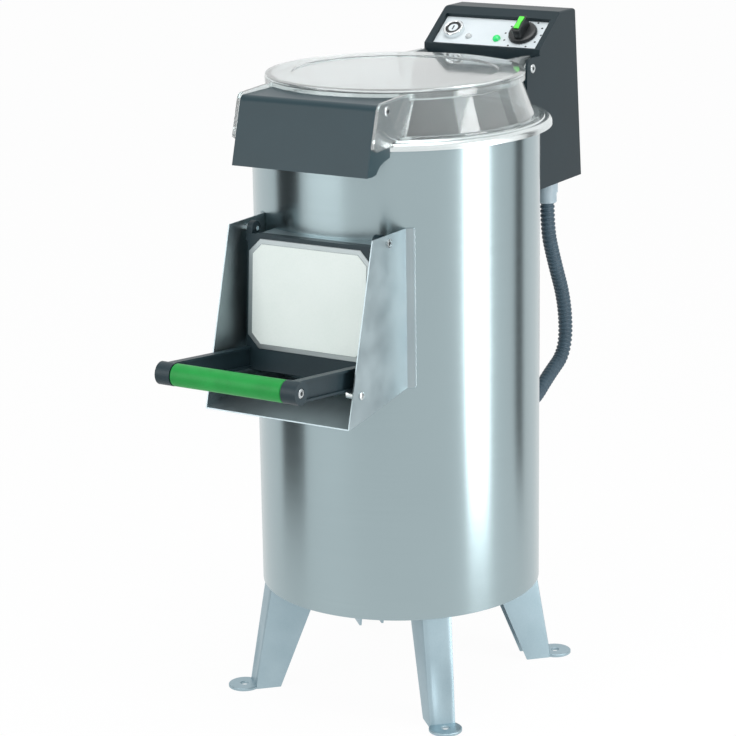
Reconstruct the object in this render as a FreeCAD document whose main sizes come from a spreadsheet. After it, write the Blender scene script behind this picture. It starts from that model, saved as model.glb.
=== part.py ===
import FreeCAD, Part
import math
import os
import re

import Sketcher
from FreeCAD import Placement, Rotation, Vector

# Electric potato peeler, in millimetres. The floor is z = 0, the barrel's axis is the Z axis,
# the chute and the lid's grip are at the front, -Y, and the control housing is at the back, +Y.

os.makedirs("parts", exist_ok=True)

# Driving sizes
SIZES = {
    # clearances
    "fit_gap": 0.2,
    "running_gap": 0.05,
    "seat_gap": 0.3,
    "moving_gap": 0.4,
    # barrel and base
    "casing_radius": 190,
    "casing_wall": 1.5,
    "casing_bottom": 144,
    "casing_top": 776,
    "base_inset": 3,
    "base_sheet": 4,
    # rim ring
    "ring_outer": 206,
    "ring_inner": 178,
    "ring_sheet": 3,
    "ring_skirt": 10,
    "ridge_radius": 194,
    "ridge_height": 1.5,
    # legs
    "leg_head_radius": 187.5,
    "leg_foot_radius": 213,
    "leg_head_width": 41,
    "leg_foot_width": 36,
    "leg_head_depth": 70,
    "leg_foot_depth": 36,
    "leg_sheet": 3,
    "lug_reach": 11,
    "lug_radius": 22,
    "lug_sheet": 4,
    "foot_hole": 5.5,
    "leg_tab_reach": 62,
    "leg_bolt_outer": 166,
    "leg_bolt_inner": 138,
    "bolt_radius": 4,
    "bolt_head_radius": 7,
    "bolt_head_height": 4.5,
    # door port
    "port_half_width": 79,
    "port_bottom": 500,
    "port_top": 650,
    "port_wall": 3,
    "port_reach": 199,
    "door_lean": 4,
    "seal_width": 8,
    # chute
    "chute_half_width": 106.9,
    "chute_sheet": 1.5,
    "chute_top": 668.7,
    "chute_top_reach": 239.5,
    "chute_lip_reach": 303,
    "chute_lip_drop": 36.5,
    "chute_floor_rise": 20,
    "chute_root": 157,
    "chute_flange": 9,
    # door
    "pivot_y": -203,
    "pivot_z": 658.5,
    "pivot_radius": 3,
    "door_ear_radius": 9.5,
    "door_ear_inner": 89,
    "door_ear_width": 8,
    "door_half_width": 94,
    "door_front": 215.3,
    "door_thickness": 11,
    "door_top": 654,
    "door_bottom": 478,
    "plate_half_width": 91.5,
    "plate_top": 648.6,
    "plate_bottom": 506,
    "plate_chamfer": 17,
    "plate_sheet": 2,
    "plate_border": 6.5,
    "spacer_radius": 4.5,
    # door arms and handle
    "handle_y": -401.5,
    "handle_z": 513.4,
    "handle_radius": 14.5,
    "handle_half_length": 102.4,
    "grip_half_length": 81,
    "rod_radius": 5,
    "arm_inner": 86,
    "arm_width": 10,
    "arm_depth": 27.6,
    "arm_wall": 3,
    "arm_rise": 6.6,
    "stud_y": -273.2,
    "stud_radius": 5.3,
    # lid
    "lid_height": 59.5,
    "lid_wall": 4,
    "lid_flange_radius": 189.5,
    "skirt_foot_radius": 182.5,
    "skirt_head_radius": 166.5,
    "lid_bead_radius": 171,
    "lid_bead_depth": 11,
    "lid_field_radius": 135,
    "lid_field_step": 1.8,
    # hood grip and its clear cheeks
    "hood_half_width": 99.5,
    "hood_top_z": 831,
    "hood_top_reach": 214.5,
    "hood_lip_z": 745.2,
    "hood_lip_reach": 238.8,
    "hood_corner": 10,
    "hood_wall": 4,
    "hood_side_wall": 3.5,
    "cheek_sheet": 4.5,
    "cheek_drop": 3.7,
    "cheek_screw_inset": 16.1,
    "cheek_screw_drop": 8.5,
    "screw_head_radius": 6.2,
    "screw_head_height": 2.5,
    "screw_shank_radius": 2.5,
    "socket_radius": 2.9,
    # lid hinge
    "hinge_y": 213,
    "hinge_z": 818.5,
    "ear_radius": 14,
    "eye_radius": 17,
    "eye_inner": 79,
    "eye_sheet": 5,
    "hinge_pin_radius": 4,
    "bush_radius": 6.5,
    # control housing
    "housing_half_width": 91,
    "housing_wall": 3.5,
    "housing_bottom": 646,
    "housing_top": 886,
    "housing_step_z": 762,
    "housing_brow_y": 236,
    "housing_crest_y": 299,
    "housing_back_y": 343,
    "housing_heel_y": 366,
    "housing_round": 4,
    "panel_slope": 35.6,
    "cover_sheet": 3,
    "cover_boss": 12,
    "saddle_half_width": 55,
    "saddle_bottom": 672,
    "saddle_height": 70,
    "board_width": 100,
    "board_height": 70,
    # control panel, button, lamps and knob
    "panel_half_width": 82.5,
    "panel_start": 2,
    "panel_length": 59,
    "panel_frame": 8.5,
    "panel_recess": 6,
    "panel_sheet": 2,
    "button_x": -58.5,
    "button_s": 32,
    "bezel_radius": 14.8,
    "bezel_height": 8.5,
    "button_radius": 10.8,
    "button_proud": 7.5,
    "button_travel": 2.5,
    "switch_depth": 42,
    "indicator_x": -32,
    "indicator_s": 23,
    "indicator_radius": 4.6,
    "lamp_x": 12.8,
    "lamp_s": 22,
    "lamp_radius": 5.6,
    "knob_x": 49,
    "knob_s": 34.5,
    "knob_radius": 20.8,
    "knob_skirt": 6.5,
    "knob_height": 23,
    "knob_grip_length": 32,
    "knob_grip_width": 13,
    "pointer_length": 23,
    "pointer_width": 8,
    "pointer_sheet": 2,
    "spindle_radius": 3,
    "timer_width": 48,
    "timer_depth": 36,
    # conduit
    "conduit_x": 72,
    "conduit_y": 297.3,
    "conduit_end_z": 330,
    "conduit_radius": 10.4,
    "conduit_bore": 7.4,
    "conduit_pitch": 6.4,
    "conduit_rib_depth": 1.5,
    "conduit_seat": 16,
    "fitting_radius": 13.5,
    "fitting_length": 30,
    "fitting_thread": 10,
    # chamber and drive
    "floor_z": 452,
    "floor_sheet": 3,
    "abrasive_z": 464,
    "abrasive_radius": 181,
    "abrasive_sheet": 8,
    "lobe_radius": 15,
    "shaft_radius": 12.5,
    "shaft_bottom": 322,
    "hub_radius": 34,
    "hub_flange_radius": 58,
    "hub_flange": 6,
    "hub_depth": 92,
    "bearing_radius": 26,
    "bearing_width": 15,
    "shaft_seal_width": 9,
    "pulley_bottom": 325,
    "pulley_height": 22,
    "pulley_flange": 3,
    "driven_radius": 70,
    "driver_radius": 28,
    "belt_depth": 6,
    "motor_y": -112,
    "motor_radius": 60,
    "motor_bottom": 155,
    "motor_top": 316,
    "motor_shaft_radius": 9.5,
    "drain_y": 128,
    "drain_radius": 22,
    "drain_wall": 2,
    "drain_end": 108,
    "drain_socket": 34,
    "socket_step": 0.5,
    "inlet_z": 720,
    "inlet_radius": 10,
    "inlet_seat": 6,
    "inlet_reach": 35,
}

doc = FreeCAD.newDocument("potato_peeler")
sheet = doc.addObject("Spreadsheet::Sheet", "sizes")
for row, (alias, value) in enumerate(SIZES.items(), 1):
    sheet.set(f"A{row}", alias)
    sheet.set(f"B{row}", str(value))
    sheet.setAlias(f"B{row}", alias)
doc.recompute()

nodes = []


# Expressions
def link(text):
    """The same expression with each size's name pointed at the sheet."""
    def point(word):
        return "sizes." + word[0] if word[0] in SIZES else word[0]
    return re.sub(r"[a-z]\w*", point, text)


def size(text):
    """The expression's present value as a plain number."""
    return float(sheet.evalExpression(link(text)))


def bind(thing, **settings):
    """Ties each named property to an expression; two underscores stand for a dot."""
    for name, text in settings.items():
        thing.setExpression(name.replace("__", "."), link(text))


def keep(thing, label):
    """Makes a finished object one of the part's nodes."""
    thing.Label = label
    nodes.append(thing)
    return thing


# Sketches
def pin(sketch, edge, end, kind, text):
    """Fixes one coordinate of a point to an expression."""
    value = size(text)
    if abs(value) < 1e-9:
        axis = -2 if kind == "DistanceX" else -1
        sketch.addConstraint(Sketcher.Constraint("PointOnObject", edge, end, axis))
        return
    ends = (-1, 1, edge, end) if value > 0 else (edge, end, -1, 1)
    index = sketch.addConstraint(Sketcher.Constraint(kind, *ends, abs(value)))
    sketch.setExpression(f"Constraints[{index}]", link(text if value > 0 else f"-({text})"))


def arc_between(start, end, radius):
    """The arc of less than half a turn from start to end, its centre on the left for a positive radius."""
    chord = end - start
    left = Vector(-chord.y, chord.x, 0).normalize() * math.copysign(1, radius)
    reach = math.sqrt(max(radius * radius - chord.Length ** 2 / 4, 0))
    crown = (start + end) / 2 + left * (reach - abs(radius))
    return Part.Arc(start, crown, end)


def add_loop(sketch, points):
    """A closed loop of (u, v) points; a third value is the signed radius of the arc that leaves the point."""
    spots = [Vector(size(p[0]), size(p[1]), 0) for p in points]
    edges = []
    flips = []
    for i, point in enumerate(points):
        start, end = spots[i], spots[(i + 1) % len(spots)]
        if len(point) == 3:
            edges.append(sketch.addGeometry(arc_between(start, end, size(point[2]))))
            flips.append(size(point[2]) < 0)
        else:
            edges.append(sketch.addGeometry(Part.LineSegment(start, end)))
            flips.append(False)
    for i, edge in enumerate(edges):
        following = (i + 1) % len(edges)
        leaving = 1 if flips[i] else 2
        arriving = 2 if flips[following] else 1
        sketch.addConstraint(Sketcher.Constraint("Coincident", edge, leaving, edges[following], arriving))
    for i, point in enumerate(points):
        first = 2 if flips[i] else 1
        pin(sketch, edges[i], first, "DistanceX", point[0])
        pin(sketch, edges[i], first, "DistanceY", point[1])
        if len(point) == 3:
            index = sketch.addConstraint(Sketcher.Constraint("Radius", edges[i], abs(size(point[2]))))
            text = point[2] if size(point[2]) > 0 else f"-({point[2]})"
            sketch.setExpression(f"Constraints[{index}]", link(text))


def add_circle(sketch, u, v, radius):
    """A circle with its centre and radius tied to expressions."""
    circle = Part.Circle(Vector(size(u), size(v), 0), Vector(0, 0, 1), size(radius))
    edge = sketch.addGeometry(circle)
    pin(sketch, edge, 3, "DistanceX", u)
    pin(sketch, edge, 3, "DistanceY", v)
    index = sketch.addConstraint(Sketcher.Constraint("Radius", edge, size(radius)))
    sketch.setExpression(f"Constraints[{index}]", link(radius))


def draw(owner, plane, *loops, lift=None, tilt=None):
    """A sketch on one of the body's own planes; a loop is a list of points or a circle's (u, v, radius).

    A tilt (y, z, angle) moves an XY sketch and turns it about its own X axis.
    """
    sketch = owner.newObject("Sketcher::SketchObject", owner.Name + "_sketch")
    origin = next(item for item in owner.Origin.OriginFeatures if item.Role == plane)
    sketch.AttachmentSupport = [(origin, "")]
    sketch.MapMode = "FlatFace"
    if lift is not None:
        bind(sketch, AttachmentOffset__Base__z=lift)
    if tilt is not None:
        y, z, angle = tilt
        sketch.AttachmentOffset = Placement(Vector(), Rotation(Vector(1, 0, 0), size(angle)))
        bind(sketch, AttachmentOffset__Base__y=y, AttachmentOffset__Base__z=z,
             AttachmentOffset__Rotation__Angle=angle)
    for loop in loops:
        if isinstance(loop, list):
            add_loop(sketch, loop)
        else:
            add_circle(sketch, *loop)
    return sketch


# Features
def new_body(name):
    """An empty body."""
    return doc.addObject("PartDesign::Body", name)


def owner_of(feature):
    return feature.getParentGeoFeatureGroup()


def add(kind, sketch, length=None, both=False, back=False):
    """A pad or pocket of the sketch; both spreads it evenly to the two sides."""
    owner = owner_of(sketch)
    cutting = kind == "Pocket"
    before = owner.Shape.Volume if cutting else 0
    feature = owner.newObject("PartDesign::" + kind, owner.Name + "_" + kind.lower())
    feature.Profile = sketch
    feature.SideType = "Symmetric" if both else "One side"
    feature.Reversed = back
    bind(feature, Length=length)
    sketch.Visibility = False
    doc.recompute()
    if cutting and not owner.Shape.Volume < before - 1e-3:
        raise RuntimeError(feature.Name + " cuts nothing")
    return feature


def pad(sketch, length, both=False, back=False):
    return add("Pad", sketch, length, both, back)


def pocket(sketch, length, both=False, back=False):
    return add("Pocket", sketch, length, both, back)


def spin(kind, sketch):
    """A full turn of the sketch about the body's own Z axis."""
    owner = owner_of(sketch)
    before = owner.Shape.Volume if kind == "Groove" else 0
    feature = owner.newObject("PartDesign::" + kind, owner.Name + "_" + kind.lower())
    feature.Profile = sketch
    feature.ReferenceAxis = (sketch, ["V_Axis"])
    feature.Angle = 360
    doc.recompute()
    if kind == "Groove" and not owner.Shape.Volume < before - 1e-3:
        raise RuntimeError(feature.Name + " cuts nothing")
    return feature


def turned(name, *profile):
    """A body turned from one profile of (radius, height) points."""
    owner = new_body(name)
    spin("Revolution", draw(owner, "XZ_Plane", *profile))
    return owner


def mirrored(*features):
    """The features again on the other side of the YZ plane."""
    owner = owner_of(features[0])
    feature = owner.newObject("PartDesign::Mirrored", owner.Name + "_mirrored")
    plane = next(item for item in owner.Origin.OriginFeatures if item.Role == "YZ_Plane")
    feature.Originals = list(features)
    feature.MirrorPlane = (plane, [""])
    owner.Tip = feature
    doc.recompute()
    return feature


def round_edges(owner, radius, picks, kind="Fillet"):
    """Rounds the edges whose two ends both satisfy one of the picks."""
    base = owner.Tip
    names = []
    for index, edge in enumerate(base.Shape.Edges, 1):
        ends = [vertex.Point for vertex in edge.Vertexes]
        if any(all(pick(end) for end in ends) for pick in picks):
            names.append(f"Edge{index}")
    if not names:
        raise RuntimeError(owner.Name + " has no edge to round")
    feature = owner.newObject("PartDesign::" + kind, owner.Name + "_" + kind.lower())
    feature.Base = (base, names)
    if kind == "Fillet":
        bind(feature, Radius=radius)
    else:
        bind(feature, Size=radius)
    doc.recompute()
    return feature


def along_x(y, z):
    """Picks points on a line along X."""
    return lambda p: abs(p.y - size(y)) < 0.02 and abs(p.z - size(z)) < 0.02


# Primitives
AXES = {
    "Z": (Vector(0, 0, 1), 0),
    "X": (Vector(0, 1, 0), 90),
    "-X": (Vector(0, 1, 0), -90),
    "Y": (Vector(1, 0, 0), -90),
}


def put(thing, x, y, z, axis="Z"):
    """Places an object by three expressions, with its own Z along the axis."""
    turn, degrees = AXES[axis]
    thing.Placement = Placement(Vector(), Rotation(turn, degrees))
    bind(thing, Placement__Base__x=x, Placement__Base__y=y, Placement__Base__z=z)
    return thing


def cylinder(name, radius, height, x="0", y="0", z="0", axis="Z"):
    thing = doc.addObject("Part::Cylinder", name)
    bind(thing, Radius=radius, Height=height)
    return put(thing, x, y, z, axis)


def box(name, length, width, height, x, y, z):
    """A box from its lowest corner."""
    thing = doc.addObject("Part::Box", name)
    bind(thing, Length=length, Width=width, Height=height)
    return put(thing, x, y, z)


def cut(name, base, tool):
    thing = doc.addObject("Part::Cut", name)
    thing.Base = base
    thing.Tool = tool
    return thing


def join(name, *shapes):
    thing = doc.addObject("Part::MultiFuse", name)
    thing.Shapes = list(shapes)
    return thing


def group(name, *shapes):
    """Separate solids in one node."""
    thing = doc.addObject("Part::Compound", name)
    thing.Links = list(shapes)
    return thing


def flip(name, source):
    """The mirror image across the YZ plane."""
    thing = doc.addObject("Part::Mirroring", name)
    thing.Source = source
    thing.Normal = Vector(1, 0, 0)
    return thing


def pair(name, source):
    """A solid and its mirror image across the YZ plane."""
    return group(name, source, flip(name + "_mirror", source))


def socket_screw(name, head_radius, head_height, shank_radius, shank_length, socket):
    """A screw with its head above its own z = 0 and a hexagon socket in it."""
    screw = turned(name, [
        ("0", f"-({shank_length})"),
        (shank_radius, f"-({shank_length})"),
        (shank_radius, "0"),
        (head_radius, "0"),
        (head_radius, f"{head_height} * 0.6"),
        (f"{head_radius} * 0.86", head_height),
        ("0", head_height),
    ])
    corners = [(f"{socket} * cos({60 * k}deg)", f"{socket} * sin({60 * k}deg)") for k in range(6)]
    pocket(draw(screw, "XY_Plane", corners, lift=head_height), f"{head_height} * 0.8")
    return screw


# Barrel casing: a rolled sheet cylinder with the door port cut through its front
BORE = "(casing_radius - casing_wall)"
RING_TOP = "(casing_top + ring_sheet)"
casing = new_body("barrel_casing")
spin("Revolution", draw(casing, "XZ_Plane", [
    (BORE, "casing_bottom"),
    ("casing_radius", "casing_bottom"),
    ("casing_radius", "casing_top"),
    (BORE, "casing_top"),
]))
pocket(draw(casing, "XZ_Plane", [
    ("-port_half_width", "port_bottom"),
    ("port_half_width", "port_bottom"),
    ("port_half_width", "port_top"),
    ("-port_half_width", "port_top"),
]), "casing_radius + casing_wall", back=True)
pocket(draw(casing, "XZ_Plane", ("conduit_x", "conduit_end_z", "conduit_bore + fit_gap")),
       "casing_radius + casing_wall")
pocket(draw(casing, "YZ_Plane", ("0", "inlet_z", "inlet_radius + fit_gap")), "casing_radius + casing_wall")
keep(casing, "barrel_casing")

# Rim ring: a pressed ring that caps the casing, with a rolled outer skirt and a low ridge for the lid
rim = turned("rim_ring", [
    ("ring_inner", f"{RING_TOP} - ring_skirt * 0.7"),
    ("ring_inner + ring_sheet", f"{RING_TOP} - ring_skirt * 0.7"),
    ("ring_inner + ring_sheet", "casing_top"),
    ("ring_outer - ring_skirt * 0.7", "casing_top", "-ring_skirt * 0.7 + ring_sheet"),
    ("ring_outer - ring_sheet", f"{RING_TOP} - ring_skirt * 0.7"),
    ("ring_outer - ring_sheet", f"{RING_TOP} - ring_skirt"),
    ("ring_outer", f"{RING_TOP} - ring_skirt"),
    ("ring_outer", f"{RING_TOP} - ring_skirt * 0.7", "ring_skirt * 0.7"),
    ("ring_outer - ring_skirt * 0.7", RING_TOP),
    ("ridge_radius + ridge_height * 1.6", RING_TOP),
    ("ridge_radius + ridge_height * 0.8", f"{RING_TOP} + ridge_height"),
    ("ridge_radius - ridge_height * 0.8", f"{RING_TOP} + ridge_height"),
    ("ridge_radius - ridge_height * 1.6", RING_TOP),
    ("ring_inner", RING_TOP),
])
keep(rim, "rim_ring")

# Base plate: a disc inside the casing's foot, drilled for the leg bolts, the motor and the drain
BASE_Z = "(casing_bottom + base_inset)"
BASE_TOP = f"({BASE_Z} + base_sheet)"
LEG_ANGLES = (45, 135, 225, 315)
MOTOR_BOLT_REACH = "(motor_radius - 4)"


def polar(radius, degrees):
    return f"{radius} * cos({degrees}deg)", f"{radius} * sin({degrees}deg)"


bolt_spots = [polar(reach, turn) for turn in LEG_ANGLES for reach in ("leg_bolt_outer", "leg_bolt_inner")]
motor_spots = [(f"{MOTOR_BOLT_REACH} * {a}", f"motor_y + {MOTOR_BOLT_REACH} * {b}")
               for a, b in ((0.8, 0.8), (-0.8, 0.8), (-0.8, -0.8), (0.8, -0.8))]
base = new_body("base_plate")
pad(draw(base, "XY_Plane",
         ("0", "0", f"{BORE} - fit_gap"),
         *[(u, v, "bolt_radius + fit_gap") for u, v in bolt_spots],
         *[(u, v, "bolt_radius * 0.75 + fit_gap") for u, v in motor_spots],
         ("0", "drain_y", "drain_radius + seat_gap"),
         lift=BASE_Z), "base_sheet")
keep(base, "base_plate")

# Legs: pressed channels, open to the middle, that splay and narrow to a round bolt-down lug
LUG_CENTRE = "(leg_foot_radius + lug_reach)"


def channel(web, width, depth):
    """The channel's section: a web across the spoke with two flanges pointing inwards."""
    half = f"({width}) / 2"
    inner = f"({half} - leg_sheet)"
    return [
        (f"{web} - {depth}", f"-{half}"),
        (web, f"-{half}"),
        (web, half),
        (f"{web} - {depth}", half),
        (f"{web} - {depth}", inner),
        (f"{web} - leg_sheet", inner),
        (f"{web} - leg_sheet", f"-{inner}"),
        (f"{web} - {depth}", f"-{inner}"),
    ]


def leg(label, degrees):
    owner = new_body(label)
    foot_section = channel("leg_foot_radius", "leg_foot_width", "leg_foot_depth")
    head_section = channel("leg_head_radius", "leg_head_width", "leg_head_depth")
    foot = draw(owner, "XY_Plane", foot_section)
    head = draw(owner, "XY_Plane", head_section, lift=BASE_Z)
    doc.recompute()
    loft = owner.newObject("PartDesign::AdditiveLoft", label + "_loft")
    loft.Profile = foot
    loft.Sections = [head]
    loft.Ruled = True
    doc.recompute()
    root = "(leg_foot_radius - leg_sheet * 1.5)"
    neck = "(leg_foot_width / 2 - 1)"
    pad(draw(owner, "XY_Plane", [
        (root, f"-{neck}"),
        (LUG_CENTRE, "-lug_radius", "lug_radius"),
        (f"{LUG_CENTRE} + lug_radius", "0", "lug_radius"),
        (LUG_CENTRE, "lug_radius"),
        (root, neck),
    ]), "lug_sheet")
    tab_half = "(leg_head_width / 2 - leg_sheet / 2)"
    pad(draw(owner, "XY_Plane", [
        ("leg_head_radius - leg_tab_reach", f"-{tab_half}"),
        ("leg_head_radius - leg_sheet / 2", f"-{tab_half}"),
        ("leg_head_radius - leg_sheet / 2", tab_half),
        ("leg_head_radius - leg_tab_reach", tab_half),
    ], lift=BASE_Z), "leg_sheet", back=True)
    pocket(draw(owner, "XY_Plane", (LUG_CENTRE, "0", "foot_hole")), "lug_sheet * 2", both=True)
    pocket(draw(owner, "XY_Plane",
                ("leg_bolt_outer", "0", "bolt_radius + fit_gap"),
                ("leg_bolt_inner", "0", "bolt_radius + fit_gap"),
                lift=BASE_Z), "leg_sheet * 3")
    owner.Placement = Placement(Vector(), Rotation(Vector(0, 0, 1), degrees))
    return keep(owner, label)


for label, degrees in (("leg_rear_right", 45), ("leg_rear_left", 135), ("leg_front_left", 225),
                       ("leg_front_right", 315)):
    leg(label, degrees)


# Leg bolts: a head under each leg's tab and a nut on the base plate
def through_bolt(name, x, y, radius, head, low, high):
    """A bolt with its head under z = low and its nut above z = high."""
    bolt = turned(name, [
        ("0", f"{low} - bolt_head_height"),
        (head, f"{low} - bolt_head_height"),
        (head, low),
        (radius, low),
        (radius, high),
        (head, high),
        (head, f"{high} + bolt_head_height"),
        ("0", f"{high} + bolt_head_height"),
    ])
    bind(bolt, Placement__Base__x=x, Placement__Base__y=y)
    return bolt


keep(group("leg_bolts", *[
    through_bolt(f"leg_bolt_{i}", x, y, "bolt_radius", "bolt_head_radius",
                 f"({BASE_Z} - leg_sheet)", BASE_TOP)
    for i, (x, y) in enumerate(bolt_spots, 1)
]), "leg_bolts")

# Port frame: a welded box around the door port, cut to the casing, its front leaning with the door
LEAN = "tan(door_lean * 1deg)"
FRAME_TOP = "(port_top + port_wall)"
FRAME_BOTTOM = "(port_bottom - port_wall)"
INSIDE_Y = "-(casing_radius * 0.8)"


def leaning(reach, top, z):
    """The y of a face that stands at reach in front when z is top and leans forward below it."""
    return f"-({reach} + ({top} - {z}) * {LEAN})"


frame = new_body("port_frame")
pad(draw(frame, "YZ_Plane", [
    (leaning("port_reach", FRAME_TOP, FRAME_TOP), FRAME_TOP),
    (leaning("port_reach", FRAME_TOP, FRAME_BOTTOM), FRAME_BOTTOM),
    (INSIDE_Y, FRAME_BOTTOM),
    (INSIDE_Y, FRAME_TOP),
]), "2 * (port_half_width + port_wall)", both=True)
pocket(draw(frame, "XZ_Plane", [
    ("-port_half_width", "port_bottom"),
    ("port_half_width", "port_bottom"),
    ("port_half_width", "port_top"),
    ("-port_half_width", "port_top"),
]), "casing_radius * 2", back=True)
spin("Groove", draw(frame, "XZ_Plane", [
    ("0", f"{FRAME_BOTTOM} - 9"),
    ("casing_radius + fit_gap", f"{FRAME_BOTTOM} - 9"),
    ("casing_radius + fit_gap", f"{FRAME_TOP} + 9"),
    ("0", f"{FRAME_TOP} + 9"),
]))
keep(frame, "port_frame")

# Door seal: a rubber ring between the port frame's front and the door's back
DOOR_DEPTH = "(door_thickness / cos(door_lean * 1deg))"
SEAL_TOP = f"({FRAME_TOP} - 1)"
SEAL_BOTTOM = f"({FRAME_BOTTOM} - 1)"


def rectangle(half, low, high):
    return [(f"-({half})", low), (half, low), (half, high), (f"-({half})", high)]


seal = new_body("door_seal")
pad(draw(seal, "YZ_Plane", [
    (f"{leaning('door_front', 'door_top', SEAL_TOP)} + {DOOR_DEPTH} + seat_gap", SEAL_TOP),
    (f"{leaning('door_front', 'door_top', SEAL_BOTTOM)} + {DOOR_DEPTH} + seat_gap", SEAL_BOTTOM),
    (f"{leaning('port_reach', FRAME_TOP, SEAL_BOTTOM)} - seat_gap", SEAL_BOTTOM),
    (f"{leaning('port_reach', FRAME_TOP, SEAL_TOP)} - seat_gap", SEAL_TOP),
]), "2 * (port_half_width + port_wall)", both=True)
pocket(draw(seal, "XZ_Plane", rectangle(
    "port_half_width + port_wall - seal_width", f"{SEAL_BOTTOM} + seal_width", f"{SEAL_TOP} - seal_width"
)), "casing_radius * 2", back=True)
keep(seal, "door_seal")

# The lines of the door's arms, which rise towards the handle, and the studs beneath them
ARM_SLOPE = "tan(arm_rise * 1deg)"
ARM_HALF = "(arm_depth / 2 / cos(arm_rise * 1deg))"
ARM_ROOT = f"({leaning('door_front', 'door_top', 'door_bottom')} + 5)"


def arm_line(y, offset):
    """The height of a line along the arm, offset from its middle, at a given y."""
    return f"(handle_z - ({y} - handle_y) * {ARM_SLOPE} + {offset})"


def arm_strip(low, high):
    """A strip along the arm between two offsets from its middle."""
    return [
        ("handle_y", arm_line("handle_y", low)),
        (ARM_ROOT, arm_line(ARM_ROOT, low)),
        (ARM_ROOT, arm_line(ARM_ROOT, high)),
        ("handle_y", arm_line("handle_y", high)),
    ]


STUD_Z = f"({arm_line('stud_y', '-' + ARM_HALF)} - stud_radius - seat_gap)"

# Chute: one folded sheet with two side plates and a sloping floor, and narrow flanges on the casing
CHUTE_LIP = "(door_bottom - chute_lip_drop)"
CHUTE_INNER = "(chute_half_width - chute_sheet)"
CHUTE_SLOPE = "(chute_floor_rise / (chute_lip_reach - chute_root))"


def chute_floor(y):
    """The underside of the chute's floor at a distance in front of the axis."""
    return f"({CHUTE_LIP} + (chute_lip_reach - ({y})) * {CHUTE_SLOPE})"


chute = new_body("chute_sheet")
pad(draw(chute, "YZ_Plane", [
    (INSIDE_Y, "chute_top"),
    ("-chute_top_reach", "chute_top"),
    ("-chute_lip_reach", CHUTE_LIP),
    (INSIDE_Y, chute_floor("casing_radius * 0.8")),
]), "2 * chute_half_width", both=True)
pocket(draw(chute, "YZ_Plane", [
    (INSIDE_Y, "chute_top + 9"),
    ("-chute_lip_reach - 9", "chute_top + 9"),
    ("-chute_lip_reach - 9", f"{chute_floor('chute_lip_reach + 9')} + chute_sheet"),
    (INSIDE_Y, f"{chute_floor('casing_radius * 0.8')} + chute_sheet"),
]), f"2 * {CHUTE_INNER}", both=True)
spin("Groove", draw(chute, "XZ_Plane", [
    ("0", f"{CHUTE_LIP} - 9"),
    ("casing_radius + fit_gap", f"{CHUTE_LIP} - 9"),
    ("casing_radius + fit_gap", "chute_top + 9"),
    ("0", "chute_top + 9"),
]))
pocket(draw(chute, "YZ_Plane",
            ("pivot_y", "pivot_z", "pivot_radius + fit_gap"),
            ("stud_y", STUD_Z, "screw_shank_radius + fit_gap")), "3 * chute_half_width", both=True)
flange_ring = turned("chute_flange_ring", [
    ("casing_radius + fit_gap", chute_floor("chute_root")),
    ("casing_radius + fit_gap + chute_sheet", chute_floor("chute_root")),
    ("casing_radius + fit_gap + chute_sheet", "chute_top"),
    ("casing_radius + fit_gap", "chute_top"),
])
flange_zone = box("chute_flange_zone", "chute_flange", "casing_radius", "chute_top",
                  "chute_half_width - chute_sheet / 2", "-casing_radius", "0")
flange = doc.addObject("Part::Common", "chute_flange_right")
flange.Base = flange_ring
flange.Tool = flange_zone
keep(join("chute_frame", chute, flange, flip("chute_flange_left", flange)), "chute_frame")

# Door pivot screws, their spacers, and the studs that the door's arms rest on
EAR_OUTER = "(door_ear_inner + door_ear_width)"
pivot_screw = socket_screw("pivot_screw", "screw_head_radius - 0.4", "screw_head_height", "pivot_radius",
                           "chute_half_width - door_ear_inner + 2", "socket_radius")
put(pivot_screw, "chute_half_width", "pivot_y", "pivot_z", "X")
keep(pair("door_pivot_screws", pivot_screw), "door_pivot_screws")

spacer = turned("pivot_spacer", [
    ("pivot_radius + fit_gap", "0"),
    ("spacer_radius", "0"),
    ("spacer_radius", f"{CHUTE_INNER} - {EAR_OUTER} - moving_gap"),
    ("pivot_radius + fit_gap", f"{CHUTE_INNER} - {EAR_OUTER} - moving_gap"),
])
put(spacer, f"{EAR_OUTER} + moving_gap", "pivot_y", "pivot_z", "X")
keep(pair("door_pivot_spacers", spacer), "door_pivot_spacers")

stud = turned("rest_stud", [
    ("0", "0"),
    ("stud_radius", "0"),
    ("stud_radius", f"{CHUTE_INNER} - arm_inner - 2"),
    ("screw_shank_radius", f"{CHUTE_INNER} - arm_inner - 2"),
    ("screw_shank_radius", "chute_half_width - arm_inner - 2"),
    ("screw_head_radius - 1", "chute_half_width - arm_inner - 2"),
    ("screw_head_radius - 2", "chute_half_width - arm_inner - 2 + screw_head_height"),
    ("0", "chute_half_width - arm_inner - 2 + screw_head_height"),
])
put(stud, "arm_inner + 2", "stud_y", STUD_Z, "X")
keep(pair("door_rest_studs", stud), "door_rest_studs")

# Door: a moulded panel with pivot ears above, I-section arms in front and a boss at each end of the handle

def door_face(z, depth="0"):
    return f"{leaning('door_front', 'door_top', z)} + {depth}"


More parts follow.
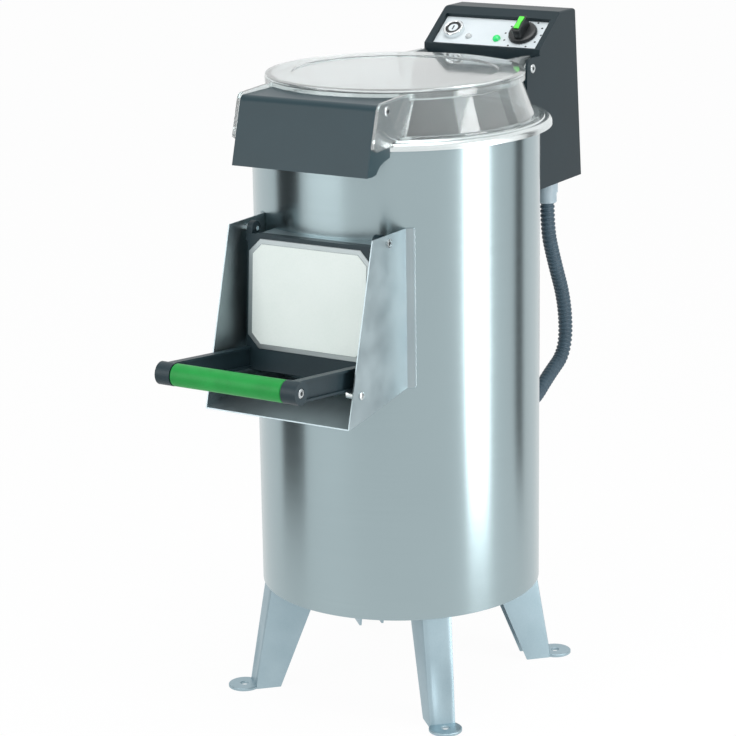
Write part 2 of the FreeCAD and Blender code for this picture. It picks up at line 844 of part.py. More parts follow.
door = new_body("door_panel")
pad(draw(door, "YZ_Plane", [
    (door_face("door_top"), "door_top"),
    (door_face("door_bottom"), "door_bottom"),
    (door_face("door_bottom", DOOR_DEPTH), "door_bottom"),
    (door_face("door_top", DOOR_DEPTH), "door_top"),
]), "2 * door_half_width", both=True)
EAR_FOOT = "(door_top - door_ear_radius)"
ear = pad(draw(door, "YZ_Plane", [
    ("pivot_y + door_ear_radius", "pivot_z", "door_ear_radius"),
    ("pivot_y", "pivot_z + door_ear_radius", "door_ear_radius"),
    ("pivot_y - door_ear_radius", "pivot_z"),
    (door_face(EAR_FOOT), EAR_FOOT),
    (door_face(EAR_FOOT, DOOR_DEPTH), EAR_FOOT),
], lift="door_ear_inner"), "door_ear_width")
flanges = pad(draw(door, "YZ_Plane",
                   arm_strip(f"-{ARM_HALF}", f"-{ARM_HALF} + arm_wall"),
                   arm_strip(f"{ARM_HALF} - arm_wall", ARM_HALF),
                   lift="arm_inner"), "arm_width")
web = pad(draw(door, "YZ_Plane", arm_strip(f"-{ARM_HALF} + arm_wall / 2", f"{ARM_HALF} - arm_wall / 2"),
               lift="arm_inner + arm_width / 2 - arm_wall / 2"), "arm_wall")
boss = pad(draw(door, "YZ_Plane", ("handle_y", "handle_z", "handle_radius"),
                lift="grip_half_length + fit_gap"), "handle_half_length - grip_half_length - fit_gap")
mirrored(ear, flanges, web, boss)
pocket(draw(door, "YZ_Plane",
            ("pivot_y", "pivot_z", "pivot_radius + running_gap"),
            ("handle_y", "handle_z", "rod_radius + fit_gap")), "3 * chute_half_width", both=True)
recess = pocket(draw(door, "YZ_Plane", ("handle_y", "handle_z", "screw_head_radius + fit_gap"),
                     lift="handle_half_length"), "screw_head_height", back=False)
mirrored(recess)
keep(door, "door_panel")


# Door plate: an eight-sided cover plate with a lower border, on the door's leaning face
def octagon(border):
    half = f"(plate_half_width - {border})"
    low = f"(plate_bottom - door_top + {border})"
    high = f"(plate_top - door_top - {border})"
    corner = f"(plate_chamfer - {border} * 0.586)"
    return [
        (f"-{half} + {corner}", low),
        (f"{half} - {corner}", low),
        (half, f"{low} + {corner}"),
        (half, f"{high} - {corner}"),
        (f"{half} - {corner}", high),
        (f"-{half} + {corner}", high),
        (f"-{half}", f"{high} - {corner}"),
        (f"-{half}", f"{low} + {corner}"),
    ]


plate = new_body("door_plate")
pad(draw(plate, "XZ_Plane", octagon("0")), "plate_sheet * 0.6")
pad(draw(plate, "XZ_Plane", octagon("plate_border")), "plate_sheet")
plate.Placement = Placement(Vector(), Rotation(Vector(-1, 0, 0), size("door_lean")))
bind(plate, Placement__Base__y="-door_front", Placement__Base__z="door_top",
     Placement__Rotation__Angle="door_lean")
keep(plate, "door_plate")

# Handle: a sleeve grip on a steel rod, with a screw in each end
rod_half = "(handle_half_length - screw_head_height - fit_gap)"
rod = cylinder("rod_bar", "rod_radius", f"2 * {rod_half}", f"-{rod_half}", "handle_y", "handle_z", "X")
rod_bore = cylinder("rod_bore", "screw_shank_radius + fit_gap", "14",
                    f"{rod_half} - 13", "handle_y", "handle_z", "X")
keep(cut("handle_rod", cut("rod_right", rod, rod_bore), flip("rod_bore_left", rod_bore)), "handle_rod")
grip = turned("grip_sleeve", [
    ("rod_radius + fit_gap", "-grip_half_length"),
    ("handle_radius - 1", "-grip_half_length"),
    ("handle_radius - 0.3", "-grip_half_length + 1"),
    ("handle_radius - 0.3", "grip_half_length - 1"),
    ("handle_radius - 1", "grip_half_length"),
    ("rod_radius + fit_gap", "grip_half_length"),
])
put(grip, "0", "handle_y", "handle_z", "X")
keep(grip, "handle_grip")
handle_screw = socket_screw("handle_screw", "screw_head_radius", "screw_head_height",
                            "screw_shank_radius", "12", "socket_radius")
put(handle_screw, "handle_half_length - screw_head_height", "handle_y", "handle_z", "X")
keep(pair("handle_screws", handle_screw), "handle_screws")

# Lid: one clear moulding with a stepped top, a sloping skirt, two cheeks in front and two hinge arms behind
LID_TOP = f"({RING_TOP} + lid_height)"
STEP_TOP = f"({LID_TOP} + lid_field_step)"
BEAD_FOOT = f"({LID_TOP} - lid_bead_depth + 1.5)"
HEAD_Z = f"({LID_TOP} - lid_bead_depth - 1.5)"
FLANGE_TOP = f"({RING_TOP} + moving_gap + lid_wall)"
CHEEK_INNER = "(hood_half_width + moving_gap)"
CHEEK_OUTER = f"({CHEEK_INNER} + cheek_sheet)"
CHEEK_SCREW_Y = "(-hood_top_reach + cheek_screw_inset)"
CHEEK_SCREW_Z = "(hood_top_z - cheek_screw_drop)"
LID_INNER_HEAD = "(skirt_head_radius - lid_wall)"
LID_INNER_FOOT = "(skirt_foot_radius - lid_wall)"

lid = turned("lid_shell", [
    ("0", LID_TOP),
    ("lid_field_radius", LID_TOP),
    ("lid_field_radius + 1", STEP_TOP),
    ("lid_bead_radius - 8", STEP_TOP),
    ("lid_bead_radius - 1", f"{LID_TOP} + 1"),
    ("lid_bead_radius", f"{LID_TOP} - 1.5"),
    ("lid_bead_radius", BEAD_FOOT),
    ("skirt_head_radius", HEAD_Z),
    ("skirt_foot_radius", FLANGE_TOP),
    ("lid_flange_radius", FLANGE_TOP),
    ("lid_flange_radius", f"{RING_TOP} + moving_gap"),
    (LID_INNER_FOOT, f"{RING_TOP} + moving_gap"),
    (LID_INNER_HEAD, HEAD_Z),
    (f"{LID_INNER_HEAD} - 1.5", f"{LID_TOP} - lid_wall"),
    ("0", f"{LID_TOP} - lid_wall"),
])


def rim_y(radius):
    """The y, in front, of a circle of the lid where a cheek crosses it."""
    return f"-sqrt(({radius})^2 - {CHEEK_INNER}^2)"


cheek = pad(draw(lid, "YZ_Plane", [
    ("-hood_lip_reach + 9.4", f"{RING_TOP} + 1"),
    ("-hood_lip_reach + 17.4", f"{RING_TOP} - cheek_drop"),
    (rim_y("ring_outer + 3.2"), f"{RING_TOP} - cheek_drop + 1.9"),
    (rim_y("ring_outer + 2.4"), f"{RING_TOP} + ridge_height + 0.8"),
    (rim_y(f"({LID_INNER_FOOT} + skirt_foot_radius) / 2"), FLANGE_TOP),
    (rim_y(f"({LID_INNER_HEAD} + skirt_head_radius) / 2"), HEAD_Z),
    (rim_y(f"{LID_INNER_HEAD} + 5"), f"{LID_TOP} - 4"),
    (rim_y("lid_bead_radius + 5"), f"{LID_TOP} - 2"),
    ("-hood_top_reach + 7.3", "hood_top_z + 2.6", "hood_corner"),
    ("-hood_top_reach - 1.6", "hood_top_z - 4.6"),
], lift=CHEEK_INNER), "cheek_sheet")
arm = pad(draw(lid, "YZ_Plane", [
    ("sqrt((lid_bead_radius - 3)^2 - eye_inner^2)", f"{LID_TOP} - 1.5"),
    ("hinge_y", "hinge_z + eye_radius", "-eye_radius"),
    ("hinge_y + eye_radius", "hinge_z", "-eye_radius"),
    ("hinge_y", "hinge_z - eye_radius", "-eye_radius"),
    ("hinge_y - eye_radius * sqrt(0.5)", "hinge_z - eye_radius * sqrt(0.5)"),
    ("sqrt((skirt_foot_radius - 8)^2 - eye_inner^2)", f"{RING_TOP} + 21"),
], lift="eye_inner"), "eye_sheet")
mirrored(cheek, arm)
pocket(draw(lid, "YZ_Plane",
            (CHEEK_SCREW_Y, CHEEK_SCREW_Z, "screw_shank_radius + fit_gap"),
            ("hinge_y", "hinge_z", "bush_radius + fit_gap")), f"3 * {CHEEK_OUTER}", both=True)
keep(lid, "lid_shell")

bush = turned("hinge_bush", [
    ("hinge_pin_radius + running_gap", "0"),
    ("bush_radius", "0"),
    ("bush_radius", "eye_sheet"),
    ("hinge_pin_radius + running_gap", "eye_sheet"),
])
put(bush, "eye_inner", "hinge_y", "hinge_z", "X")
keep(pair("lid_hinge_bushes", bush), "lid_hinge_bushes")
hinge_pin = socket_screw("hinge_pin", "screw_head_radius", "screw_head_height", "hinge_pin_radius",
                         "housing_half_width - eye_inner + 2", "socket_radius")
put(hinge_pin, "housing_half_width", "hinge_y", "hinge_z", "X")
keep(pair("lid_hinge_pins", hinge_pin), "lid_hinge_pins")

# Hood: the moulded grip in front of the lid, hollow and open below for the fingers
hood = new_body("lid_hood")
pad(draw(hood, "YZ_Plane", [
    ("-120", "hood_top_z"),
    ("-hood_top_reach + 7.6", "hood_top_z", "hood_corner"),
    ("-hood_top_reach - 2.1", "hood_top_z - 7.3"),
    ("-hood_lip_reach", "hood_lip_z"),
    ("-hood_lip_reach + 12.7", "hood_lip_z - 0.5"),
    ("-hood_lip_reach + 22.3", "hood_lip_z + 1"),
    ("-hood_lip_reach + 27.2", "hood_lip_z + 6.3"),
    ("-hood_lip_reach + 32.2", "hood_lip_z + 10.5"),
    ("-hood_lip_reach + 41.9", "hood_lip_z + 13.9"),
    ("-hood_lip_reach + 54.1", "hood_lip_z + 16.8"),
    ("-120", "hood_lip_z + 16.8"),
]), "2 * hood_half_width", both=True)
pocket(draw(hood, "YZ_Plane", [
    ("-110", "hood_top_z - hood_wall"),
    ("-hood_top_reach + 3.5", "hood_top_z - hood_wall"),
    ("-hood_top_reach - 0.5", "hood_top_z - hood_wall - 5"),
    ("-hood_lip_reach + 8.4", "hood_lip_z + 14.8"),
    ("-hood_lip_reach + 16.8", "hood_lip_z + 6.8"),
    ("-hood_lip_reach + 29", "hood_lip_z - 9"),
    ("-110", "hood_lip_z - 9"),
]), "2 * (hood_half_width - hood_side_wall)", both=True)
spin("Groove", draw(hood, "XZ_Plane", [
    ("0", "hood_lip_z - 9"),
    ("ring_outer + 2.5", "hood_lip_z - 9"),
    ("ring_outer + 2.5", f"{RING_TOP} + 3"),
    ("lid_flange_radius + 2.5", f"{RING_TOP} + 3"),
    ("lid_flange_radius + 2.5", f"{FLANGE_TOP} + 1"),
    ("skirt_foot_radius + 1.6", f"{FLANGE_TOP} + 1"),
    ("skirt_head_radius + 1.2", f"{HEAD_Z} - 2"),
    ("lid_bead_radius + 0.8", f"{BEAD_FOOT} - 2"),
    ("lid_bead_radius + 0.8", f"{LID_TOP} + 9"),
    ("0", f"{LID_TOP} + 9"),
]))
pocket(draw(hood, "YZ_Plane", (CHEEK_SCREW_Y, CHEEK_SCREW_Z, "screw_shank_radius + fit_gap")),
       "3 * hood_half_width", both=True)
keep(hood, "lid_hood")
hood_screw = socket_screw("hood_screw", "screw_head_radius", "screw_head_height", "screw_shank_radius",
                          "cheek_sheet + moving_gap + hood_side_wall + 2", "socket_radius")
put(hood_screw, CHEEK_OUTER, CHEEK_SCREW_Y, CHEEK_SCREW_Z, "X")
keep(pair("hood_screws", hood_screw), "hood_screws")

# Control housing: a shell with a sloping brow, two ears for the lid's hinge and an open back
FRONT = "(hinge_y - ear_radius)"
EAR_TOP = "(hinge_z + ear_radius)"
SIN = "sin(panel_slope * 1deg)"
COS = "cos(panel_slope * 1deg)"
BROW_Z = "(housing_top - (housing_crest_y - housing_brow_y) * tan(panel_slope * 1deg))"
HOUSING_IN = "(housing_half_width - housing_wall)"
BACK_RISE = "(housing_top - housing_bottom)"
BACK_RUN = "(housing_heel_y - housing_back_y)"
BACK_TILT = f"(atan({BACK_RUN} / {BACK_RISE}) / 1deg)"
BACK_LENGTH = f"sqrt({BACK_RISE}^2 + {BACK_RUN}^2)"


def back_y(z):
    """The y of the housing's leaning back at a height."""
    return f"(housing_heel_y - ({z} - housing_bottom) * {BACK_RUN} / {BACK_RISE})"


def brow_under(y):
    """The height of the underside of the sloping brow."""
    return f"({BROW_Z} + ({y} - housing_brow_y) * tan(panel_slope * 1deg) - panel_frame / {COS})"


housing = new_body("control_housing")
pad(draw(housing, "YZ_Plane", [
    ("housing_back_y", "housing_top"),
    ("housing_crest_y", "housing_top"),
    ("housing_brow_y", BROW_Z),
    ("housing_brow_y", EAR_TOP),
    ("hinge_y", EAR_TOP, "ear_radius"),
    (FRONT, "hinge_z"),
    (FRONT, "housing_bottom"),
    ("housing_heel_y", "housing_bottom"),
]), "2 * housing_half_width", both=True)
round_edges(housing, "housing_round", [
    along_x("housing_back_y", "housing_top"),
    along_x("housing_crest_y", "housing_top"),
    lambda p: p.y > size("housing_brow_y") + 1 and abs(abs(p.x) - size("housing_half_width")) < 0.01
    and p.z > size("housing_top") - 1,
])
pocket(draw(housing, "YZ_Plane", [
    (f"{FRONT} - 9", "housing_step_z"),
    ("housing_brow_y", "housing_step_z"),
    ("housing_brow_y", f"{EAR_TOP} + 1"),
    (f"{FRONT} - 9", f"{EAR_TOP} + 1"),
]), f"2 * {HOUSING_IN}", both=True)
BROW_IN = "(housing_brow_y + housing_wall)"
TOP_IN = "(housing_top - housing_wall)"
CREST_IN = f"(housing_brow_y + ({TOP_IN} - {BROW_Z} + panel_frame / {COS}) / tan(panel_slope * 1deg))"
pocket(draw(housing, "YZ_Plane", [
    ("housing_heel_y + 9", "housing_bottom + housing_wall"),
    (f"{FRONT} + housing_wall", "housing_bottom + housing_wall"),
    (f"{FRONT} + housing_wall", "housing_step_z - housing_wall"),
    (BROW_IN, "housing_step_z - housing_wall"),
    (BROW_IN, brow_under(BROW_IN)),
    (CREST_IN, TOP_IN),
    ("housing_heel_y + 9", TOP_IN),
]), f"2 * {HOUSING_IN}", both=True)


def corner_block(low, high):
    """A block for a cover screw between two heights, just inside the cover."""
    return [
        (f"{back_y(low)} - cover_sheet - seat_gap - 2 * cover_boss", low),
        (f"{back_y(low)} - cover_sheet - seat_gap", low),
        (f"{back_y(high)} - cover_sheet - seat_gap", high),
        (f"{back_y(high)} - cover_sheet - seat_gap - 2 * cover_boss", high),
    ]


low_block = corner_block("(housing_bottom + housing_wall / 2)",
                         "(housing_bottom + housing_wall + cover_boss)")
high_block = corner_block("(housing_top - housing_wall - cover_boss)",
                          "(housing_top - housing_wall / 2)")
blocks = pad(draw(housing, "YZ_Plane", low_block, high_block, lift=f"{HOUSING_IN} - cover_boss"),
             "cover_boss + housing_wall / 2")
mirrored(blocks)
SCREW_X = f"({HOUSING_IN} - cover_boss / 2)"
SCREW_LOW = "(housing_wall + cover_boss / 2)"
SCREW_HIGH = f"({BACK_LENGTH} - {SCREW_LOW})"
cover_spots = [(x, t) for x in (SCREW_X, f"-{SCREW_X}") for t in (SCREW_LOW, SCREW_HIGH)]
BACK_TURN = f"{BACK_TILT} - 90"
pocket(draw(housing, "XY_Plane",
            *[(x, f"-{t}", "screw_shank_radius + fit_gap") for x, t in cover_spots],
            tilt=("housing_heel_y", "housing_bottom", BACK_TURN)), "cover_sheet + 14")
pocket(draw(housing, "XY_Plane", rectangle("panel_half_width", "panel_start", "panel_start + panel_length"),
            tilt=("housing_brow_y", BROW_Z, "panel_slope")), "panel_frame + 1")
pocket(draw(housing, "YZ_Plane", ("hinge_y", "hinge_z", "hinge_pin_radius + fit_gap")),
       "3 * housing_half_width", both=True)
pocket(draw(housing, "XY_Plane", ("conduit_x", "conduit_y", "fitting_thread + fit_gap"),
            lift="housing_bottom"), "housing_wall * 3", both=True)
keep(housing, "control_housing")

# Back cover of the housing and its screws
cover = new_body("housing_back_cover")
cover_half = f"({HOUSING_IN} - fit_gap)"
pad(draw(cover, "XY_Plane",
         rectangle(cover_half, f"-{BACK_LENGTH} + housing_wall + 0.8", "-housing_wall - 0.8"),
         *[(x, f"-{t}", "screw_shank_radius + fit_gap") for x, t in cover_spots]), "cover_sheet", back=True)
cover.Placement = Placement(Vector(), Rotation(Vector(1, 0, 0), size(BACK_TURN)))
bind(cover, Placement__Base__y="housing_heel_y", Placement__Base__z="housing_bottom",
     Placement__Rotation__Angle=BACK_TURN)
keep(cover, "housing_back_cover")
cover_screws = []
for i, (x, t) in enumerate(cover_spots, 1):
    screw = socket_screw(f"cover_screw_{i}", "screw_head_radius - 1.5", "screw_head_height",
                         "screw_shank_radius", "cover_sheet + 12", "socket_radius - 0.6")
    screw.Placement = Placement(Vector(), Rotation(Vector(1, 0, 0), size(BACK_TURN)))
    bind(screw, Placement__Base__x=x,
         Placement__Base__y=f"housing_heel_y - {t} * sin({BACK_TILT} * 1deg)",
         Placement__Base__z=f"housing_bottom + {t} * cos({BACK_TILT} * 1deg)",
         Placement__Rotation__Angle=BACK_TURN)
    cover_screws.append(screw)
keep(group("cover_screws", *cover_screws), "cover_screws")

# Saddle between the casing and the housing
saddle = new_body("housing_saddle")
pad(draw(saddle, "XY_Plane", [
    ("-saddle_half_width", "casing_radius * 0.8"),
    ("saddle_half_width", "casing_radius * 0.8"),
    ("saddle_half_width", f"{FRONT} - fit_gap"),
    ("-saddle_half_width", f"{FRONT} - fit_gap"),
], lift="saddle_bottom"), "saddle_height")
spin("Groove", draw(saddle, "XZ_Plane", [
    ("0", "saddle_bottom - 9"),
    ("casing_radius + fit_gap", "saddle_bottom - 9"),
    ("casing_radius + fit_gap", "saddle_bottom + saddle_height + 9"),
    ("0", "saddle_bottom + saddle_height + 9"),
]))
keep(saddle, "housing_saddle")


# Control panel in its recess, with the start button, two lamps and the timer
def on_panel(thing, x="0", s="0"):
    """Stands an object on the panel's face, x across it and s up it from the brow."""
    thing.Placement = Placement(Vector(), Rotation(Vector(1, 0, 0), size("panel_slope")))
    bind(thing, Placement__Base__x=x,
         Placement__Base__y=f"housing_brow_y + {s} * {COS} + panel_recess * {SIN}",
         Placement__Base__z=f"{BROW_Z} + {s} * {SIN} - panel_recess * {COS}",
         Placement__Rotation__Angle="panel_slope")
    return thing


BEZEL_NECK = "(bezel_radius - 2.4)"
CAP_BORE = "(button_radius + moving_gap)"
PANEL_END = "(panel_start + panel_length)"
panel = new_body("control_panel")
pad(draw(panel, "XY_Plane",
         rectangle("panel_half_width - fit_gap", "panel_start + fit_gap", f"{PANEL_END} - fit_gap"),
         ("button_x", "button_s", f"{BEZEL_NECK} + fit_gap"),
         ("indicator_x", "indicator_s", "indicator_radius * 0.7 + fit_gap"),
         ("lamp_x", "lamp_s", "lamp_radius * 0.7 + fit_gap"),
         ("knob_x", "knob_s", "spindle_radius + 3")), "panel_sheet", back=True)
keep(on_panel(panel), "control_panel")

bezel = turned("button_bezel", [
    (CAP_BORE, "-panel_sheet - 12"),
    (BEZEL_NECK, "-panel_sheet - 12"),
    (BEZEL_NECK, "fit_gap"),
    ("bezel_radius", "fit_gap"),
    ("bezel_radius", "bezel_height - 1"),
    ("bezel_radius - 1", "bezel_height"),
    (CAP_BORE, "bezel_height"),
])
keep(on_panel(bezel, "button_x", "button_s"), "start_button_bezel")

cap = turned("button_cap", [
    ("0", "-panel_sheet - 8"),
    ("button_radius", "-panel_sheet - 8"),
    ("button_radius", "button_proud - 0.8"),
    ("button_radius - 0.8", "button_proud"),
    ("0", "button_proud"),
])
keep(on_panel(cap, "button_x", "button_s"), "button_cap")

block = new_body("switch_block")
pad(draw(block, "XY_Plane", rectangle("bezel_radius - 1", "-bezel_radius + 1", "bezel_radius - 1"),
         lift="-panel_sheet - 12 - fit_gap"), "switch_depth - panel_sheet - 12 - fit_gap", back=True)
keep(on_panel(block, "button_x", "button_s"), "switch_block")


def lamp(label, radius, x, s):
    """A domed lens on a stem that passes through the panel."""
    lens = turned(label, [
        ("0", "-panel_sheet - 14"),
        (f"{radius} * 0.7", "-panel_sheet - 14"),
        (f"{radius} * 0.7", "fit_gap"),
        (radius, "fit_gap"),
        (radius, f"fit_gap + {radius} * 0.3"),
        (f"{radius} * 0.8", f"fit_gap + {radius} * 0.65"),
        (f"{radius} * 0.45", f"fit_gap + {radius} * 0.86"),
        ("0", f"fit_gap + {radius} * 0.93"),
    ])
    return keep(on_panel(lens, x, s), label)


lamp("pilot_lamp", "lamp_radius", "lamp_x", "lamp_s")
lamp("indicator_lens", "indicator_radius", "indicator_x", "indicator_s")

SPINDLE_FOOT = "(panel_sheet + fit_gap + timer_depth / 3)"
timer = new_body("timer_body")
pad(draw(timer, "XY_Plane", rectangle("timer_width / 2", "-timer_width / 2", "timer_width / 2"),
         lift="-panel_sheet - fit_gap"), "timer_depth", back=True)
pocket(draw(timer, "XY_Plane", ("0", "0", "spindle_radius + running_gap"), lift="-panel_sheet - fit_gap"),
       "timer_depth / 3 + 1")
keep(on_panel(timer, "knob_x", "knob_s"), "timer_body")

spindle = turned("timer_spindle", [
    ("0", f"-{SPINDLE_FOOT}"),
    ("spindle_radius", f"-{SPINDLE_FOOT}"),
    ("spindle_radius", "knob_height - 9"),
    ("0", "knob_height - 9"),
])
keep(on_panel(spindle, "knob_x", "knob_s"), "timer_spindle")

knob = new_body("timer_knob")
spin("Revolution", draw(knob, "XZ_Plane", [
    ("spindle_radius + fit_gap", "moving_gap"),
    ("knob_radius", "moving_gap"),
    ("knob_radius", "knob_skirt * 0.4"),
    ("knob_radius - 1.2", "knob_skirt * 0.75"),
    ("knob_radius - 5", "knob_skirt"),
    ("spindle_radius + fit_gap", "knob_skirt"),
]))
GRIP_HALF = "(knob_grip_width / 2)"
GRIP_REACH = "(knob_grip_length / 2)"
pad(draw(knob, "XY_Plane", [
    (f"-{GRIP_HALF}", f"-{GRIP_REACH} + 4", "5.2"),
    (f"-{GRIP_HALF} + 4", f"-{GRIP_REACH}"),
    (f"{GRIP_HALF} - 4", f"-{GRIP_REACH}", "5.2"),
    (GRIP_HALF, f"-{GRIP_REACH} + 4"),
    (GRIP_HALF, f"{GRIP_REACH} - 4", "5.2"),
    (f"{GRIP_HALF} - 4", GRIP_REACH),
    (f"-{GRIP_HALF} + 4", GRIP_REACH, "5.2"),
    (f"-{GRIP_HALF}", f"{GRIP_REACH} - 4"),
], lift="knob_skirt / 2"), "knob_height - knob_skirt / 2 - pointer_sheet")
pocket(draw(knob, "XY_Plane", ("0", "0", "spindle_radius + fit_gap"), lift="knob_height - 9 + fit_gap"),
       "knob_height")
keep(on_panel(knob, "knob_x", "knob_s"), "timer_knob")

pointer = new_body("knob_pointer")
POINTER_HALF = "(pointer_width / 2)"
pad(draw(pointer, "XY_Plane", [
    (f"-{POINTER_HALF}", "-pointer_length / 2"),
    (POINTER_HALF, "-pointer_length / 2"),
    (f"{POINTER_HALF} * 0.6", "0"),
    (POINTER_HALF, "pointer_length / 2"),
    (f"-{POINTER_HALF}", "pointer_length / 2"),
    (f"-{POINTER_HALF} * 0.6", "0"),
], lift="knob_height - pointer_sheet + fit_gap / 2"), "pointer_sheet")
keep(on_panel(pointer, "knob_x", "knob_s"), "knob_pointer")

# Power board on the inner front wall of the housing, with two relays
BOARD_Y = f"({FRONT} + housing_wall + seat_gap)"
board = box("board_sheet", "board_width", "1.6", "board_height", "-board_width / 2", BOARD_Y,
            "housing_bottom + housing_wall + 20")
relays = [box(f"relay_{i}", "22", "17", "16", f"-board_width / 2 + {x}", f"{BOARD_Y} + 1.5",
              f"housing_bottom + housing_wall + {z}") for i, (x, z) in enumerate(((10, 30), (44, 58)), 1)]
keep(join("power_board", board, *relays), "power_board")

# Chamber floor, and the bearing housing that hangs under it with its bearings and shaft seal
FLOOR_TOP = "(floor_z + floor_sheet)"
chamber_floor = new_body("chamber_floor")
pad(draw(chamber_floor, "XY_Plane",
         ("0", "0", f"{BORE} - fit_gap"),
         ("0", "0", "hub_radius + fit_gap"),
         ("0", "drain_y", "drain_radius - drain_wall"),
         lift="floor_z"), "floor_sheet")
keep(chamber_floor, "chamber_floor")

HUB_BOTTOM = "(floor_z - hub_depth)"
UPPER_SEAT = "(floor_z - 22)"
HUB_TOP = f"({FLOOR_TOP} + 5)"
hub = turned("bearing_hub", [
    ("bearing_radius + fit_gap", HUB_BOTTOM),
    ("hub_radius", HUB_BOTTOM),
    ("hub_radius", "floor_z - fit_gap - hub_flange"),
    ("hub_flange_radius", "floor_z - fit_gap - hub_flange"),
    ("hub_flange_radius", "floor_z - fit_gap"),
    ("hub_radius", "floor_z - fit_gap"),
    ("hub_radius", HUB_TOP),
    ("bearing_radius + fit_gap", HUB_TOP),
    ("bearing_radius + fit_gap", UPPER_SEAT),
    ("bearing_radius - 4", UPPER_SEAT),
    ("bearing_radius - 4", f"{HUB_BOTTOM} + bearing_width + 3"),
    ("bearing_radius + fit_gap", f"{HUB_BOTTOM} + bearing_width + 3"),
])
keep(hub, "bearing_housing")


def bearing(label, low, width):
    """A ring that fills the hub round the shaft."""
    ring = turned(label, [
        ("shaft_radius + running_gap", low),
        ("bearing_radius", low),
        ("bearing_radius", f"{low} + {width}"),
        ("shaft_radius + running_gap", f"{low} + {width}"),
    ])
    return keep(ring, label)


bearing("upper_bearing", f"({UPPER_SEAT} + fit_gap)", "bearing_width")
bearing("lower_bearing", f"({HUB_BOTTOM} + 3 - fit_gap)", "bearing_width")
bearing("shaft_seal", f"({UPPER_SEAT} + 2 * fit_gap + bearing_width)", "shaft_seal_width")

# Rotor: the abrasive plate with its raised lobes, the shaft and the driven pulley
SHAFT_TOP = "(abrasive_z + abrasive_sheet + 6)"
abrasive = new_body("abrasive_plate")
spin("Revolution", draw(abrasive, "XZ_Plane", [
    ("shaft_radius + fit_gap", "abrasive_z"),
    ("abrasive_radius", "abrasive_z"),
    ("abrasive_radius", "abrasive_z + abrasive_sheet + 2"),
    ("abrasive_radius - 3", "abrasive_z + abrasive_sheet + 2"),
    ("abrasive_radius - 5", "abrasive_z + abrasive_sheet"),
    ("shaft_radius + fit_gap", "abrasive_z + abrasive_sheet"),
]))
LOBE_CHORD = "(lobe_radius * 0.8)"
lobe = pad(draw(abrasive, "YZ_Plane", [
    (LOBE_CHORD, "abrasive_z + abrasive_sheet / 2"),
    (LOBE_CHORD, "abrasive_z + abrasive_sheet", "lobe_radius"),
    (f"-{LOBE_CHORD}", "abrasive_z + abrasive_sheet"),
    (f"-{LOBE_CHORD}", "abrasive_z + abrasive_sheet / 2"),
], lift="shaft_radius * 2"), "abrasive_radius * 0.95 - shaft_radius * 2")
lobes = abrasive.newObject("PartDesign::PolarPattern", "abrasive_lobes")
lobes.Originals = [lobe]
lobes.Axis = (next(item for item in abrasive.Origin.OriginFeatures if item.Role == "Z_Axis"), [""])
lobes.Angle = 360
lobes.Occurrences = 4
abrasive.Tip = lobes
doc.recompute()
keep(abrasive, "abrasive_plate")

shaft = turned("main_shaft", [
    ("0", "shaft_bottom"),
    ("shaft_radius", "shaft_bottom"),
    ("shaft_radius", f"{SHAFT_TOP} - 2"),
    ("shaft_radius - 2", SHAFT_TOP),
    ("0", SHAFT_TOP),
])
keep(shaft, "drive_shaft")

DRUM_DROP = "(belt_depth + 1)"


def pulley(label, radius, bore):
    """A flanged drum for the belt, on its own Z axis."""
    low = "(pulley_bottom + pulley_flange)"
    high = "(pulley_bottom + pulley_height - pulley_flange)"
    return turned(label, [
        (f"{bore} + fit_gap", "pulley_bottom"),
        (radius, "pulley_bottom"),
        (radius, low),
        (f"{radius} - {DRUM_DROP}", low),
        (f"{radius} - {DRUM_DROP}", high),
        (radius, high),
        (radius, "pulley_bottom + pulley_height"),
        (f"{bore} + fit_gap", "pulley_bottom + pulley_height"),
    ])


keep(pulley("driven_drum", "driven_radius", "shaft_radius"), "driven_pulley")

# Motor with its own pulley, its mounting plate on the base plate, and the belt round both pulleys
motor_drum = pulley("motor_drum", "driver_radius", "motor_shaft_radius")
bind(motor_drum, Placement__Base__y="motor_y")
keep(motor_drum, "motor_pulley")
ROTOR_FOOT = "(motor_top - 60)"
motor_spindle = turned("motor_spindle", [
    ("0", ROTOR_FOOT),
    ("motor_shaft_radius", ROTOR_FOOT),
    ("motor_shaft_radius", "pulley_bottom + pulley_height + 3"),
    ("0", "pulley_bottom + pulley_height + 3"),
])
bind(motor_spindle, Placement__Base__y="motor_y")
keep(motor_spindle, "motor_shaft")
motor = turned("motor_case", [
    ("0", "motor_bottom + fit_gap"),
    ("motor_radius - 8", "motor_bottom + fit_gap"),
    ("motor_radius - 8", "motor_bottom + 12"),
    ("motor_radius", "motor_bottom + 12"),
    ("motor_radius", "motor_top - 16"),
    ("motor_radius - 10", "motor_top - 4"),
    ("motor_shaft_radius * 2", "motor_top"),
    ("motor_shaft_radius + running_gap", "motor_top"),
    ("motor_shaft_radius + running_gap", f"{ROTOR_FOOT} - 2"),
    ("0", f"{ROTOR_FOOT} - 2"),
])
bind(motor, Placement__Base__y="motor_y")
keep(motor, "motor_body")

mount = new_body("motor_mount")
pad(draw(mount, "XY_Plane",
         ("0", "motor_y", "motor_radius + 8"),
         *[(u, v, "bolt_radius * 0.75 + fit_gap") for u, v in motor_spots],
         lift=f"{BASE_TOP} + fit_gap"), f"motor_bottom - {BASE_TOP} - fit_gap")
keep(mount, "motor_mount")
keep(group("motor_bolts", *[
    through_bolt(f"motor_bolt_{i}", x, y, "bolt_radius * 0.75", "bolt_head_radius * 0.75", BASE_Z,
                 "(motor_bottom + seat_gap)")
    for i, (x, y) in enumerate(motor_spots, 1)
]), "motor_bolts")


